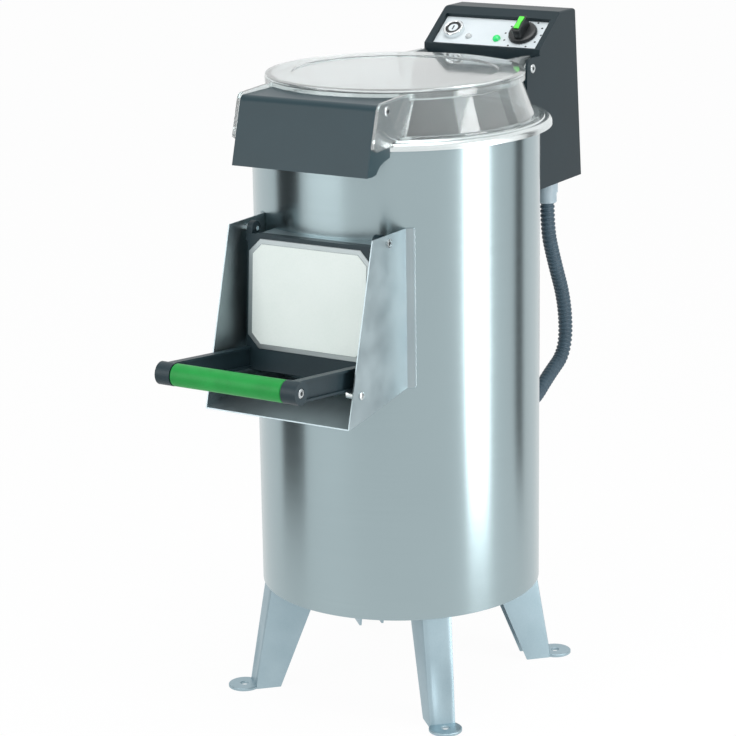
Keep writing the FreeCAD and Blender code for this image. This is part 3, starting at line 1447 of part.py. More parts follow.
def belt_loop(drop):
    """The belt's outline round both pulleys, at a depth under their flanges."""
    big = f"(driven_radius - ({drop}))"
    small = f"(driver_radius - ({drop}))"
    tilt = "asin((driven_radius - driver_radius) / -motor_y)"
    return [
        (f"{big} * cos({tilt})", f"-{big} * sin({tilt})", big),
        ("0", big, big),
        (f"-{big} * cos({tilt})", f"-{big} * sin({tilt})"),
        (f"-{small} * cos({tilt})", f"motor_y - {small} * sin({tilt})", small),
        (f"{small} * cos({tilt})", f"motor_y - {small} * sin({tilt})"),
    ]


belt = new_body("belt_band")
pad(draw(belt, "XY_Plane",
         belt_loop(f"{DRUM_DROP} - seat_gap - belt_depth"),
         belt_loop(f"{DRUM_DROP} - seat_gap"),
         lift="pulley_bottom + pulley_flange + 1"), "pulley_height - 2 * pulley_flange - 2")
keep(belt, "drive_belt")

# Drain: a flanged pipe from the chamber floor down through the base plate
drain = turned("drain_pipe", [
    ("drain_radius - drain_wall", "drain_end"),
    ("drain_radius - socket_step", "drain_end"),
    ("drain_radius - socket_step", "drain_end + drain_socket"),
    ("drain_radius", "drain_end + drain_socket + socket_step"),
    ("drain_radius", "floor_z - fit_gap - 3"),
    ("drain_radius + 8", "floor_z - fit_gap - 3"),
    ("drain_radius + 8", "floor_z - fit_gap"),
    ("drain_radius - drain_wall", "floor_z - fit_gap"),
])
bind(drain, Placement__Base__y="drain_y")
keep(drain, "drain_spout")

# Water inlet: a flanged nipple through the casing's left side
inlet = turned("inlet_nipple", [
    ("inlet_radius * 0.7", "casing_radius - 12"),
    ("inlet_radius", "casing_radius - 12"),
    ("inlet_radius", "casing_radius + fit_gap"),
    ("inlet_radius * 1.6", "casing_radius + fit_gap"),
    ("inlet_radius * 1.6", "casing_radius + fit_gap + 4"),
    ("inlet_radius", "casing_radius + fit_gap + 4"),
    ("inlet_radius", "casing_radius + inlet_seat - socket_step"),
    ("inlet_radius - socket_step", "casing_radius + inlet_seat"),
    ("inlet_radius - socket_step", "casing_radius + inlet_reach"),
    ("inlet_radius - socket_step - 1", "casing_radius + inlet_reach + 1"),
    ("inlet_radius * 0.7", "casing_radius + inlet_reach + 1"),
])
put(inlet, "0", "0", "inlet_z", "-X")
keep(inlet, "water_inlet")

# Conduit: a fitting under the housing, another on the casing, and the ribbed hose between them
SOCKET_BORE = "(conduit_radius + seat_gap)"
upper_fitting = turned("upper_gland", [
    ("conduit_bore", "housing_bottom - fitting_length + conduit_seat + 2"),
    (SOCKET_BORE, "housing_bottom - fitting_length + conduit_seat + 2"),
    (SOCKET_BORE, "housing_bottom - fitting_length"),
    ("fitting_radius - 1", "housing_bottom - fitting_length"),
    ("fitting_radius", "housing_bottom - fitting_length + 1"),
    ("fitting_radius", "housing_bottom - fitting_length / 2"),
    ("fitting_radius + 1.5", "housing_bottom - fitting_length / 2"),
    ("fitting_radius + 1.5", "housing_bottom - fit_gap"),
    ("fitting_thread", "housing_bottom - fit_gap"),
    ("fitting_thread", "housing_bottom + housing_wall + 8"),
    ("conduit_bore", "housing_bottom + housing_wall + 8"),
])
bind(upper_fitting, Placement__Base__x="conduit_x", Placement__Base__y="conduit_y")
keep(upper_fitting, "conduit_fitting_upper")

WALL_Y = "sqrt(casing_radius^2 - conduit_x^2)"
LOWER_END = f"({WALL_Y} + fitting_length)"
lower_fitting = new_body("lower_gland")
pad(draw(lower_fitting, "XZ_Plane", ("conduit_x", "conduit_end_z", "fitting_radius"), lift=f"-{LOWER_END}"),
    f"{LOWER_END} - casing_radius * 0.8")
pocket(draw(lower_fitting, "XZ_Plane", ("conduit_x", "conduit_end_z", "conduit_bore")), "casing_radius * 2")
pocket(draw(lower_fitting, "XZ_Plane", ("conduit_x", "conduit_end_z", SOCKET_BORE), lift=f"-{LOWER_END}"),
       "conduit_seat + 1", back=True)
spin("Groove", draw(lower_fitting, "XZ_Plane", [
    ("0", "conduit_end_z - 2 * fitting_radius"),
    ("casing_radius + fit_gap", "conduit_end_z - 2 * fitting_radius"),
    ("casing_radius + fit_gap", "conduit_end_z + 2 * fitting_radius"),
    ("0", "conduit_end_z + 2 * fitting_radius"),
]))
keep(lower_fitting, "conduit_fitting_lower")

# The hose's route, as (y, z) in the plane x = conduit_x, from the upper fitting to the lower one
hose_top = size("housing_bottom - fitting_length + conduit_seat")
hose_end = size(f"{LOWER_END} - conduit_seat")
HOSE_ROUTE = [
    (size("conduit_y"), hose_top),
    (size("conduit_y"), 580),
    (317, 532),
    (356, 456),
    (358, 383),
    (303, 360),
    (250, size("conduit_end_z")),
    (hose_end, size("conduit_end_z")),
]
route = [Vector(size("conduit_x"), y, z) for y, z in HOSE_ROUTE]


def rounded(points):
    """The route's straight runs and the arcs that join them, as edges in order."""
    edges = []
    here = points[0]
    radii = []
    for before, corner, after in zip(points, points[1:], points[2:]):
        arriving = (corner - before).normalize()
        leaving = (after - corner).normalize()
        half_turn = arriving.getAngle(leaving) / 2
        trim = 0.45 * min((corner - before).Length, (after - corner).Length)
        radius = trim / math.tan(half_turn)
        radii.append(round(radius, 1))
        start = corner - arriving * trim
        end = corner + leaving * trim
        inward = (leaving - arriving).normalize()
        crown = corner + inward * radius * (1 / math.cos(half_turn) - 1)
        edges.append(Part.makeLine(here, start))
        edges.append(Part.Arc(start, crown, end).toShape())
        here = end
    edges.append(Part.makeLine(here, points[-1]))
    print("hose arc radii", radii)
    return edges


runs = rounded(route)
hose_length = sum(edge.Length for edge in runs)
print("hose length", round(hose_length, 1))


def along_hose(distance):
    """The point and direction of the hose's middle line at a distance from its top."""
    for edge in runs:
        if distance <= edge.Length or edge is runs[-1]:
            place = edge.getParameterByLength(min(distance, edge.Length))
            return edge.valueAt(place), edge.tangentAt(place)
        distance -= edge.Length


def hose_circle(distance, radius):
    """A circle square to the hose, always starting on its +X side."""
    centre, forward = along_hose(distance)
    up = forward.cross(Vector(1, 0, 0))
    circle = Part.makeCircle(radius)
    circle.Placement = Placement(centre, Rotation(Vector(1, 0, 0), up, forward, "ZXY"))
    return Part.Wire([circle])


# The ribs: a valley, a crest and a valley in each pitch, as one ruled loft, less the bore
ribs = int(hose_length / size("conduit_pitch"))
pitch = hose_length / ribs
crest = size("conduit_radius")
valley = size("conduit_radius - conduit_rib_depth")
rings = []
for i in range(ribs):
    for share, radius in ((0.05, valley), (0.3, crest), (0.7, crest), (0.95, valley)):
        rings.append(hose_circle((i + share) * pitch, radius))
inner = [hose_circle(hose_length * k / 60, size("conduit_bore")) for k in range(61)]
rings[0] = hose_circle(0, valley)
rings[-1] = hose_circle(hose_length, valley)
hose = doc.addObject("Part::Feature", "conduit_tube")
hose.Shape = Part.makeLoft(rings, True, True).cut(Part.makeLoft(inner, True, True))
keep(hose, "conduit_hose")
samples = [along_hose(hose_length * k / 240)[0] for k in range(241)]
reach = size("conduit_radius * 2")
apart = [(samples[i] - samples[j]).Length
         for i in range(241) for j in range(i) if (i - j) * hose_length / 240 > reach * math.pi / 2]
print("hose least gap to itself", round(min(apart) - reach, 1), "ribs", ribs)

# Checks and files
doc.recompute()
for item in doc.Objects:
    if "Invalid" in item.State or "Error" in item.State:
        raise RuntimeError(item.Name + " did not compute")
for node in nodes:
    if node.Shape.isNull() or not node.Shape.isValid():
        raise RuntimeError(node.Label + " has no valid shape")
    node.Shape.exportStep(os.path.join("parts", node.Label + ".step"))
print("nodes", len(nodes))
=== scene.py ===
import math

import bmesh
import bpy
from mathutils import Matrix, Vector


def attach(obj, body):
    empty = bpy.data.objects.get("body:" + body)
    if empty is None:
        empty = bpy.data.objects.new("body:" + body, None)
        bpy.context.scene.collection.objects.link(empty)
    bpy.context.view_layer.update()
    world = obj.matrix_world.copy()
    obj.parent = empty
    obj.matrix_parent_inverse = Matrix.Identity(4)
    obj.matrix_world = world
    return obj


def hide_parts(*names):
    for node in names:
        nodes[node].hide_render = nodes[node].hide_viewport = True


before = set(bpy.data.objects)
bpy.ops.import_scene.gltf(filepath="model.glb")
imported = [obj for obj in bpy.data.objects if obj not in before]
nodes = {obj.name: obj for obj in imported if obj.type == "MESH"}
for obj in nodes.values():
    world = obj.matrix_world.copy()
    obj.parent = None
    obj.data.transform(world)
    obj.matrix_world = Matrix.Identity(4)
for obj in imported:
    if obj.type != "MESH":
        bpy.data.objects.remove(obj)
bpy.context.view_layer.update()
MM = 0.001


def linear(code):
    """An sRGB hex colour as the linear colour that the shaders take."""
    parts = [int(code[i:i + 2], 16) / 255 for i in (1, 3, 5)]
    return (*[p / 12.92 if p <= 0.04045 else ((p + 0.055) / 1.055) ** 2.4 for p in parts], 1)


def add(tree, kind, settings=None, links=None):
    """Add one shader node, with its properties, its socket values and its inputs' links."""
    item = tree.nodes.new(kind)
    for key, value in (settings or {}).items():
        if isinstance(key, str) and key[0].islower():
            setattr(item, key, value)
        else:
            item.inputs[key].default_value = value
    for key, source in (links or {}).items():
        tree.links.new(source, item.inputs[key])
    return item


def finish(name, light, dark, rough, grain, relief, cloud=60, spread=0.08, amount=0.5, **shader):
    """A surface whose colour drifts from light to dark over cloud mm, with a grain of so many mm along
    x, y and z, a relief of so many mm, and a gloss that the grain breaks up."""
    made = bpy.data.materials.new(name)
    made.use_nodes = True
    tree = made.node_tree
    tree.nodes.clear()
    place = add(tree, "ShaderNodeTexCoord").outputs["Object"]
    drift = add(tree, "ShaderNodeTexNoise", {"Scale": 1000 / cloud, "Detail": 3.0}, {"Vector": place})
    stretch = add(tree, "ShaderNodeMapping", {"Scale": [1000 / g for g in grain]}, {"Vector": place})
    fine = add(tree, "ShaderNodeTexNoise", {"Scale": 1.0, "Detail": 4.0, "Roughness": 0.6},
               {"Vector": stretch.outputs["Vector"]})
    blend = add(tree, "ShaderNodeMix", {"data_type": "FLOAT", "Factor": amount},
                {2: drift.outputs["Fac"], 3: fine.outputs["Fac"]})
    tone = add(tree, "ShaderNodeValToRGB", links={"Fac": blend.outputs[0]})
    tone.color_ramp.elements[0].position = 0.3
    tone.color_ramp.elements[0].color = linear(dark)
    tone.color_ramp.elements[1].position = 0.7
    tone.color_ramp.elements[1].color = linear(light)
    least, most = max(rough - spread, 0.02), min(rough + spread, 1)
    gloss = add(tree, "ShaderNodeMapRange", {"From Min": 0.25, "From Max": 0.75, "To Min": least, "To Max": most},
                {"Value": fine.outputs["Fac"]})
    bump = add(tree, "ShaderNodeBump", {"Strength": 0.6, "Distance": relief * MM}, {"Height": fine.outputs["Fac"]})
    body = add(tree, "ShaderNodeBsdfPrincipled", shader,
               {"Base Color": tone.outputs["Color"], "Roughness": gloss.outputs["Result"],
                "Normal": bump.outputs["Normal"]})
    add(tree, "ShaderNodeOutputMaterial", links={"Surface": body.outputs["BSDF"]})
    return made


METAL = {"Metallic": 1.0}
MATT = {"Specular IOR Level": 0.28}

# Stainless sheet brushed round the barrel: long fine lines in z, drawn 1 mm coarse, that spread each light upright
barrel_steel = finish("brushed_stainless_barrel", "#a2b3b7", "#9daeb2", 0.25, (140, 140, 1.0), 0.0015, 220, 0.02,
                      Anisotropic=0.6, **METAL, **{"Anisotropic Rotation": 0.25})
# Spun stainless rim: brighter than the sheet, with turning lines
rim_steel = finish("spun_stainless_rim", "#e8eeee", "#d3dcdd", 0.24, (60, 60, 0.8), 0.01, 120, 0.06, **METAL)
# Stainless chute sheet, brushed along its length, a soft grey with lines that run to the lip
chute_steel = finish("brushed_stainless_chute", "#a6b3b7", "#97a5aa", 0.42, (1.0, 40, 40), 0.01, 90, 0.08, **METAL)
# Bead-blasted stainless legs: even, matt and pale blue-grey, with a fine blasted grain
leg_steel = finish("blasted_stainless_legs", "#aabec6", "#97adb6", 0.46, (1.4, 1.4, 1.4), 0.03, 50, 0.08, **METAL)
# Galvanised plate: broad dull spangle
plate_steel = finish("galvanised_plate", "#9fa9ad", "#7d878b", 0.42, (14, 14, 14), 0.02, 30, 0.12, **METAL)
# Zinc-plated screws: bright, nearly white, a little uneven
screw_steel = finish("zinc_plated_screws", "#e4e9ea", "#c2cacc", 0.24, (1.2, 1.2, 1.2), 0.01, 8, 0.08, **METAL)
# Ground steel shafts with turning lines
shaft_steel = finish("ground_steel_shaft", "#b4babd", "#9a9fa2", 0.26, (20, 20, 0.8), 0.01, 30, 0.06, **METAL)
# Painted cast iron: lumpy sand-cast skin under grey enamel
hub_iron = finish("painted_cast_iron", "#5b6468", "#474f53", 0.5, (3, 3, 3), 0.12, 25, 0.1)
# Turned aluminium pulleys
pulley_aluminium = finish("turned_aluminium", "#c6cbcd", "#a9afb2", 0.34, (25, 25, 0.9), 0.02, 30, 0.08, **METAL)
# Motor enamel over die-cast aluminium
motor_paint = finish("motor_enamel", "#4b5d68", "#3c4c55", 0.42, (2.2, 2.2, 2.2), 0.06, 30, 0.08)
# Vulcanised rubber: soft dull black with a slight bloom
rubber = finish("vulcanised_rubber", "#2b2e30", "#1a1c1d", 0.72, (2, 2, 2), 0.05, 20, 0.1)
# Matt black card of the stage's flags
flag_card = finish("matt_black_card", "#2b2e30", "#1a1c1d", 0.72, (2, 2, 2), 0.05, 20, 0.1)
# Silicon carbide grit in resin: sharp dark grains of about 2 mm that glint
grit = finish("silicon_carbide_grit", "#6d6a66", "#2d2c2b", 0.62, (2.2, 2.2, 2.2), 1.2, 12, 0.25, amount=0.85)
# Clear moulded polycarbonate: glassy, faintly cool, with slight waviness
clear_lid = finish("clear_polycarbonate_lid", "#f6fbfb", "#eaf3f3", 0.06, (30, 30, 30), 0.02, 120, 0.03,
                   IOR=1.58, **{"Transmission Weight": 0.88})
# Moulded ABS of the hood: smooth blue-grey with a fine moulded texture
hood_abs = finish("moulded_abs_hood", "#233c44", "#1c333a", 0.38, (0.9, 0.9, 0.9), 0.03, 90, 0.05, IOR=1.53, **MATT)
# Glass-filled nylon of the door: darker, satin, faint flow marks
door_nylon = finish("glass_filled_nylon_door", "#26383f", "#1d2d33", 0.42, (2, 1.2, 1.2), 0.03, 40, 0.08, **MATT)
# White printed plate on the door: smooth and slightly greenish white
plate_white = finish("white_door_plate", "#f4fbf7", "#ecf5f0", 0.32, (2.5, 2.5, 2.5), 0.01, 60, 0.05)
# Anodised aluminium border of the plate
plate_border = finish("anodised_plate_border", "#a2aaab", "#929b9d", 0.42, (30, 1, 1), 0.01, 40, 0.06, **METAL)
# Soft elastomer grip: bright green with a fine matt skin
grip_green = finish("green_elastomer_grip", "#22a047", "#198a3a", 0.46, (1.3, 1.3, 1.3), 0.05, 25, 0.07, **MATT)
# Natural nylon of the bushes
bush_nylon = finish("natural_nylon", "#ddd9cc", "#cdc8b8", 0.45, (1.5, 1.5, 1.5), 0.02, 12)
# Moulded ABS of the control housing, with a spark-eroded texture of under a millimetre
housing_abs = finish("moulded_abs_housing", "#10262d", "#0c1f26", 0.42, (0.9, 0.9, 0.9), 0.03, 80, 0.06,
                     IOR=1.53, **MATT)
# Printed polyester face of the panel: pale, smooth, faintly satin
panel_face = finish("printed_polyester_panel", "#e2eaed", "#d8e1e5", 0.34, (1.2, 1.2, 1.2), 0.01, 50, 0.05)
# Satin chrome of the bezel
bezel_chrome = finish("satin_chrome_bezel", "#f0f3f4", "#dbe0e2", 0.18, (6, 6, 0.8), 0.01, 10, 0.05, **METAL)
# Black moulded ABS of the button and knob
button_black = finish("black_abs_button", "#26292b", "#1a1d1f", 0.36, (1, 1, 1), 0.02, 12, 0.08)
knob_black = finish("black_abs_knob", "#1f2426", "#14181a", 0.34, (1, 1, 1), 0.03, 15, 0.08)
# Pale grey inner mouldings
inner_plastic = finish("grey_inner_moulding", "#8b9194", "#7a8083", 0.5, (2, 2, 2), 0.02, 20)
# Glass-epoxy board: woven green with a solder-mask gloss
board_green = finish("glass_epoxy_board", "#2a6b45", "#1f5435", 0.34, (1.2, 1.2, 1.2), 0.02, 15)
# Tinted lens of the pilot lamp, moulded acrylic, that lets its light through
lamp_green = finish("green_acrylic_lamp", "#25e07a", "#18c463", 0.14, (3, 3, 3), 0.01, 6, 0.03,
                    **{"Emission Color": linear("#20e070"), "Emission Strength": 0.25, "Coat Weight": 0.5})
# Milky acrylic of the indicator
lens_clear = finish("milky_acrylic_lens", "#f4f7f7", "#dfe6e8", 0.14, (3, 3, 3), 0.01, 6, 0.03,
                    **{"Transmission Weight": 0.35, "Coat Weight": 0.5})
# Painted bright green bar on the knob
pointer_green = finish("green_painted_pointer", "#6cff56", "#55e544", 0.3, (1, 1, 1), 0.01, 10, 0.05)
# Polyamide fittings of the conduit: light grey and satin
fitting_grey = finish("grey_polyamide_fitting", "#a9b9c1", "#95a6af", 0.42, (1.2, 1.2, 1.2), 0.03, 14)
# Corrugated polyamide hose: blue-grey with a dull sheen on each rib
hose_polyamide = finish("corrugated_polyamide_hose", "#495c68", "#3a4b56", 0.42, (2, 2, 2), 0.03, 30, **MATT)
# Printed black marks of the panel and button; the same black also fills the screws' sockets as painted shade
print_and_shade_black = finish("printed_marks_and_painted_shade", "#2a2f33", "#1d2225", 0.4, (1, 1, 1), 0.005, 10)

finishes = {
    barrel_steel: "barrel_casing", rim_steel: "rim_ring",
    chute_steel: "chute_frame port_frame drain_spout water_inlet chamber_floor",
    leg_steel: "leg_front_right leg_front_left leg_rear_right leg_rear_left", plate_steel: "base_plate motor_mount",
    screw_steel: "leg_bolts motor_bolts door_pivot_screws door_pivot_spacers door_rest_studs cover_screws "
                 "hood_screws handle_screws lid_hinge_pins handle_rod",
    shaft_steel: "drive_shaft motor_shaft upper_bearing lower_bearing timer_spindle", hub_iron: "bearing_housing",
    pulley_aluminium: "driven_pulley motor_pulley", motor_paint: "motor_body",
    rubber: "drive_belt shaft_seal door_seal", grit: "abrasive_plate",
    clear_lid: "lid_shell", hood_abs: "lid_hood", door_nylon: "door_panel",
    plate_white: "door_plate", grip_green: "handle_grip", bush_nylon: "lid_hinge_bushes",
    housing_abs: "control_housing housing_back_cover housing_saddle", panel_face: "control_panel",
    bezel_chrome: "start_button_bezel", button_black: "button_cap", inner_plastic: "switch_block timer_body",
    board_green: "power_board", lamp_green: "pilot_lamp", lens_clear: "indicator_lens", knob_black: "timer_knob",
    pointer_green: "knob_pointer", fitting_grey: "conduit_fitting_upper conduit_fitting_lower",
    hose_polyamide: "conduit_hose",
}
for skin, names in finishes.items():
    for label in names.split():
        nodes[label].data.materials.clear()
        nodes[label].data.materials.append(skin)


def settle(name, points, faces, skin, body, slot=None, stands_for=(), turn=None, crease=32, bevel=0.0):
    """Make a piece from points in mm, smooth it with its creases kept, and set it on its body."""
    mesh = bpy.data.meshes.new(name)
    mesh.from_pydata([Vector(p) * MM for p in points], [], faces)
    work = bmesh.new()
    work.from_mesh(mesh)
    bmesh.ops.remove_doubles(work, verts=work.verts, dist=2e-6)
    bmesh.ops.recalc_face_normals(work, faces=work.faces)
    if turn:
        bmesh.ops.transform(work, matrix=turn, verts=work.verts)
    work.to_mesh(mesh)
    work.free()
    mesh.shade_smooth()
    mesh.set_sharp_from_angle(angle=math.radians(180 if bevel else crease))
    mesh.materials.append(skin)
    piece = bpy.data.objects.new(name, mesh)
    bpy.context.scene.collection.objects.link(piece)
    if bevel:
        edge = piece.modifiers.new("rounded_edges", "BEVEL")
        edge.width, edge.segments, edge.limit_method = bevel * MM, 3, "ANGLE"
        edge.angle_limit, edge.harden_normals = math.radians(35), True
    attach(piece, body)
    if stands_for:
        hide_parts(*stands_for)
    return piece


def rounded(corners, closed=True, steps=5):
    """An outline whose corners (u, v, radius) are rounded by arcs."""
    path, count = [], len(corners)
    for i, (u, v, *radius) in enumerate(corners):
        here = Vector((u, v))
        if not radius or (not closed and i in (0, count - 1)):
            path.append((u, v))
            continue
        before = (Vector(corners[i - 1][:2]) - here).normalized()
        after = (Vector(corners[(i + 1) % count][:2]) - here).normalized()
        half = before.angle(after) / 2
        centre = here + (before + after).normalized() * radius[0] / math.sin(half)
        first = here + before * radius[0] / math.tan(half) - centre
        last = here + after * radius[0] / math.tan(half) - centre
        start = math.atan2(first.y, first.x)
        sweep = (math.atan2(last.y, last.x) - start + math.pi) % (2 * math.pi) - math.pi
        path += [(centre.x + radius[0] * math.cos(start + sweep * k / steps),
                  centre.y + radius[0] * math.sin(start + sweep * k / steps)) for k in range(steps + 1)]
    return path


def lathe(profile, steps=144):
    """Points and faces of a closed profile turned round Z. A third number makes that ring a polygon."""
    points, faces, count = [], [], len(profile)
    for k in range(steps):
        angle = 2 * math.pi * k / steps
        for r, h, *sides in profile:
            if sides:
                part = math.pi / sides[0]
                r *= math.cos(part) / math.cos(angle % (2 * part) - part)
            points.append((r * math.cos(angle), r * math.sin(angle), h))
    for k in range(steps):
        near, far = k * count, (k + 1) % steps * count
        faces += [(near + i, far + i, far + (i + 1) % count, near + (i + 1) % count) for i in range(count)]
    return points, faces


def slab(outline, low, high):
    """Points and faces of a flat outline (u, v) pushed along from low to high."""
    count = len(outline)
    points = [(u, v, low) for u, v in outline] + [(u, v, high) for u, v in outline]
    sides = [(i, (i + 1) % count, (i + 1) % count + count, i + count) for i in range(count)]
    return points, sides + [tuple(range(count))[::-1], tuple(range(count, 2 * count))]


def toward(x, y, z, direction):
    """A turn that stands local Z along a direction at a place in mm."""
    facing = Vector(direction).to_track_quat("Z", "Y").to_matrix().to_4x4()
    return Matrix.Translation(Vector((x, y, z)) * MM) @ facing


def join(*shapes):
    """The points and faces of several shapes, as those of one."""
    points, faces = [], []
    for more, sides in shapes:
        start = len(points)
        points += more
        faces += [tuple(start + i for i in side) for side in sides]
    return points, faces


def sleeve(rings, around):
    """Faces between so many rings of points that follow each other, each with the same number around."""
    return [(j * around + k, j * around + (k + 1) % around, (j + 1) * around + (k + 1) % around, (j + 1) * around + k)
            for j in range(rings - 1) for k in range(around)]


def stood(profile, places):
    """One turned profile, stood at each (x, y, z, direction)."""
    points, faces = lathe(profile, 48)
    shapes = []
    for place in places:
        turn = toward(*place)
        shapes.append(([(turn @ (Vector(p) * MM)) / MM for p in points], faces))
    return join(*shapes)


def head_pair(name, body, radius, height, socket, x, y, z):
    """Two round screw heads that face outward at x and -x, each with a hexagon socket floored by a black disc that is
    painted shade, unless socket is 0.
    """
    places = [(x, y, z, (1, 0, 0)), (-x, y, z, (-1, 0, 0))]
    dip, top = height * 0.35, height
    middle = [(0, dip), (socket, dip, 6), (socket, top, 6)] if socket else [(0, top)]
    edge = [(radius * 0.62, top), (radius * 0.85, height * 0.93), (radius * 0.96, height * 0.75),
            (radius, height * 0.45), (radius, 0), (0, 0)]
    settle(name + "_heads", *stood(middle + edge, places), screw_steel, body, "screw_steel")
    if socket:
        # A black disc inside each socket: painted shade standing for the dark depth of the recess.
        low, high, reach = height * 0.3, height * 0.6, socket * 0.99
        disc = [(0, low), (reach, low, 6), (reach, high, 6), (0, high)]
        settle(name + "_socket_painted_shade", *stood(disc, places), print_and_shade_black, body, "screw_steel")


# Corrugated hose: the route holds the control points of the source's spline, and the ribs follow that spline
hose_route = [(72, y, z) for y, z in ((297.3, 632), (297.3, 580), (317, 532), (356, 456), (358, 383), (303, 360),
                                      (250, 330), (189.8, 330))]
line = bpy.data.curves.new("hose_line", "CURVE")
line.dimensions = "3D"
strand = line.splines.new("NURBS")
strand.points.add(len(hose_route) - 1)
for knot, place in zip(strand.points, hose_route):
    knot.co = (*Vector(place) * MM, 1)
strand.order_u = 3
strand.use_endpoint_u = True
strand.resolution_u = 60
carrier = bpy.data.objects.new("hose_line", line)
bpy.context.scene.collection.objects.link(carrier)
bpy.context.view_layer.update()
followed = bpy.data.meshes.new_from_object(carrier.evaluated_get(bpy.context.evaluated_depsgraph_get()))
trail = [v.co.copy() for v in followed.vertices]
bpy.data.objects.remove(carrier)

travelled = [0.0]
for near, far in zip(trail, trail[1:]):
    travelled.append(travelled[-1] + (far - near).length)


def along(distance):
    """The point and direction of the hose's line at a distance from the upper fitting, in metres."""
    i = next((k for k in range(1, len(travelled)) if travelled[k] >= distance), len(travelled) - 1)
    part = (distance - travelled[i - 1]) / max(travelled[i] - travelled[i - 1], 1e-9)
    return trail[i - 1].lerp(trail[i], part), (trail[i] - trail[i - 1]).normalized()


rib_pitch, valley, crest = 6.47, 8.9, 10.4
rib_shape = [(0.0, valley), (0.12, 8.95), (0.22, 9.6), (0.3, 10.2), (0.4, crest), (0.6, crest), (0.7, 10.2),
             (0.78, 9.6), (0.88, 8.95)]
rib_count = round(travelled[-1] / MM / rib_pitch)
rings = [((k + part) / rib_count * travelled[-1], r) for k in range(rib_count) for part, r in rib_shape]
rings.append((travelled[-1], valley))
points, around = [], 40
for distance, r in rings:
    centre, ahead = along(distance)
    side = Vector((1, 0, 0))
    up = ahead.cross(side).normalized()
    points += [centre / MM + r * (math.cos(2 * math.pi * k / around) * side + math.sin(2 * math.pi * k / around) * up)
               for k in range(around)]
hose = settle("ribbed_hose", points, sleeve(len(rings), around), hose_polyamide, "machine", "hose_plastic",
              ("conduit_hose",), crease=60)

# Barrel: one rolled sheet, 1.5 thick, with the door's port cut out of its front
outside, inside, port_half, port_sill = 190, 188.5, 79, 500
sheet_steps, port_steps = 120, 20
port = math.degrees(math.asin(port_half / outside))
turns = [-90 + port + (360 - 2 * port) * k / sheet_steps for k in range(sheet_steps + 1)]
turns += [-90 - port + 2 * port * k / port_steps for k in range(1, port_steps)]
levels = [144, 147, 320, port_sill, 650, 774, 776]
points = [(r * math.cos(math.radians(t)), r * math.sin(math.radians(t)), z)
          for r in (outside, inside) for t in turns for z in levels]
wide, tall = len(turns), len(levels)
behind = wide * tall
faces = []
for k in range(wide):
    here, beside = k * tall, (k + 1) % wide * tall
    for j in range(tall - 1):
        corners = (here + j, beside + j, beside + j + 1, here + j + 1)
        if not (k >= sheet_steps and levels[j] == port_sill):
            faces += [corners, tuple(c + behind for c in corners)[::-1]]
    for j in (0, tall - 1):
        faces.append((here + j, beside + j, beside + j + behind, here + j + behind))
settle("barrel_wall", points, faces, barrel_steel, "machine", "casing_steel", ("barrel_casing",), crease=40)

# Rim: a spun ring with a rolled shoulder and a raised bead
rim = rounded([(178, 772), (181, 772), (181, 776), (199, 776, 3.9), (203, 771.9), (203, 769), (206, 769), (206, 779, 7),
               (196.4, 779), (195.2, 780.5), (192.8, 780.5), (191.6, 779), (178, 779)])
settle("rim_band", *lathe(rim, 180), rim_steel, "machine", "rim_steel", ("rim_ring",), crease=38)

# Door seal: a rubber ring with soft corners and a proud lip, between the leaning port frame and the door
seal = rounded([(-82, 496, 5), (82, 496, 5), (82, 652, 5), (-82, 652, 5)], steps=6)
hole = rounded([(-74, 504, 3), (74, 504, 3), (74, 644, 3), (-74, 644, 3)], steps=6)
lean, lip, clear, door_thick = math.tan(math.radians(4)), 1.6, 0.3, 11.03
points, count = [], len(seal)
for outline, inset in ((seal, lip), (seal, 0.0), (hole, 0.0), (hole, lip)):
    for x, z in outline:
        front = -(215.3 + (654 - z) * lean) + door_thick + clear
        back = -(199 + (653 - z) * lean) - clear
        points += [(x - math.copysign(inset, x), front if inset else front + lip, z), (x, back, z)]
faces = []
# Each strip joins two loops, a loop being (row, 0 for its front edge or 1 for its back one)
for (row, edge), (next_row, next_edge) in (((0, 0), (1, 0)), ((1, 1), (2, 1)), ((2, 0), (3, 0)), ((3, 0), (0, 0)),
                                           ((1, 0), (1, 1)), ((2, 0), (2, 1))):
    near, far = row * count * 2 + edge, next_row * count * 2 + next_edge
    faces += [(near + i * 2, near + (i + 1) % count * 2, far + (i + 1) % count * 2, far + i * 2) for i in range(count)]
settle("port_seal", points, faces, rubber, "machine", "belt_rubber", ("door_seal",))

# Shaft seal: a lipped rubber ring in the chamber's floor
lips = rounded([(12.6, 445.4), (24, 445.4, 0.8), (24, 454.3, 0.8), (20, 454.3, 0.5), (17.5, 450.5, 1), (14, 453.8, 0.5),
                (12.6, 452.8)])
settle("lipped_seal", *lathe(lips, 72), rubber, "machine", "belt_rubber", ("shaft_seal",))

# Drive belt: a vee belt with a crowned back, round the driven pulley and the motor's pulley
driven_radius, motor_radius, pulley_gap = 67.6, 25.6, 112.0
belt_section = [(0.9, 331.5), (3.9, 330.2), (4.2, 336), (3.9, 341.8), (0.9, 340.5)]
dip = math.asin((driven_radius - motor_radius) / pulley_gap)
loop = [(driven_radius, -dip + (math.pi + 2 * dip) * k / 60, 0.0) for k in range(61)]
loop += [(motor_radius, math.pi + dip + (math.pi - 2 * dip) * k / 40, -pulley_gap) for k in range(41)]
points = [((r + out) * math.cos(t), y + (r + out) * math.sin(t), z) for r, t, y in loop for out, z in belt_section]
faces = []
for k in range(len(loop)):
    n = (k + 1) % len(loop)
    faces += [(k * 5 + i, n * 5 + i, n * 5 + (i + 1) % 5, k * 5 + (i + 1) % 5) for i in range(5)]
settle("vee_belt", points, faces, rubber, "machine", "belt_rubber", ("drive_belt",), crease=40)


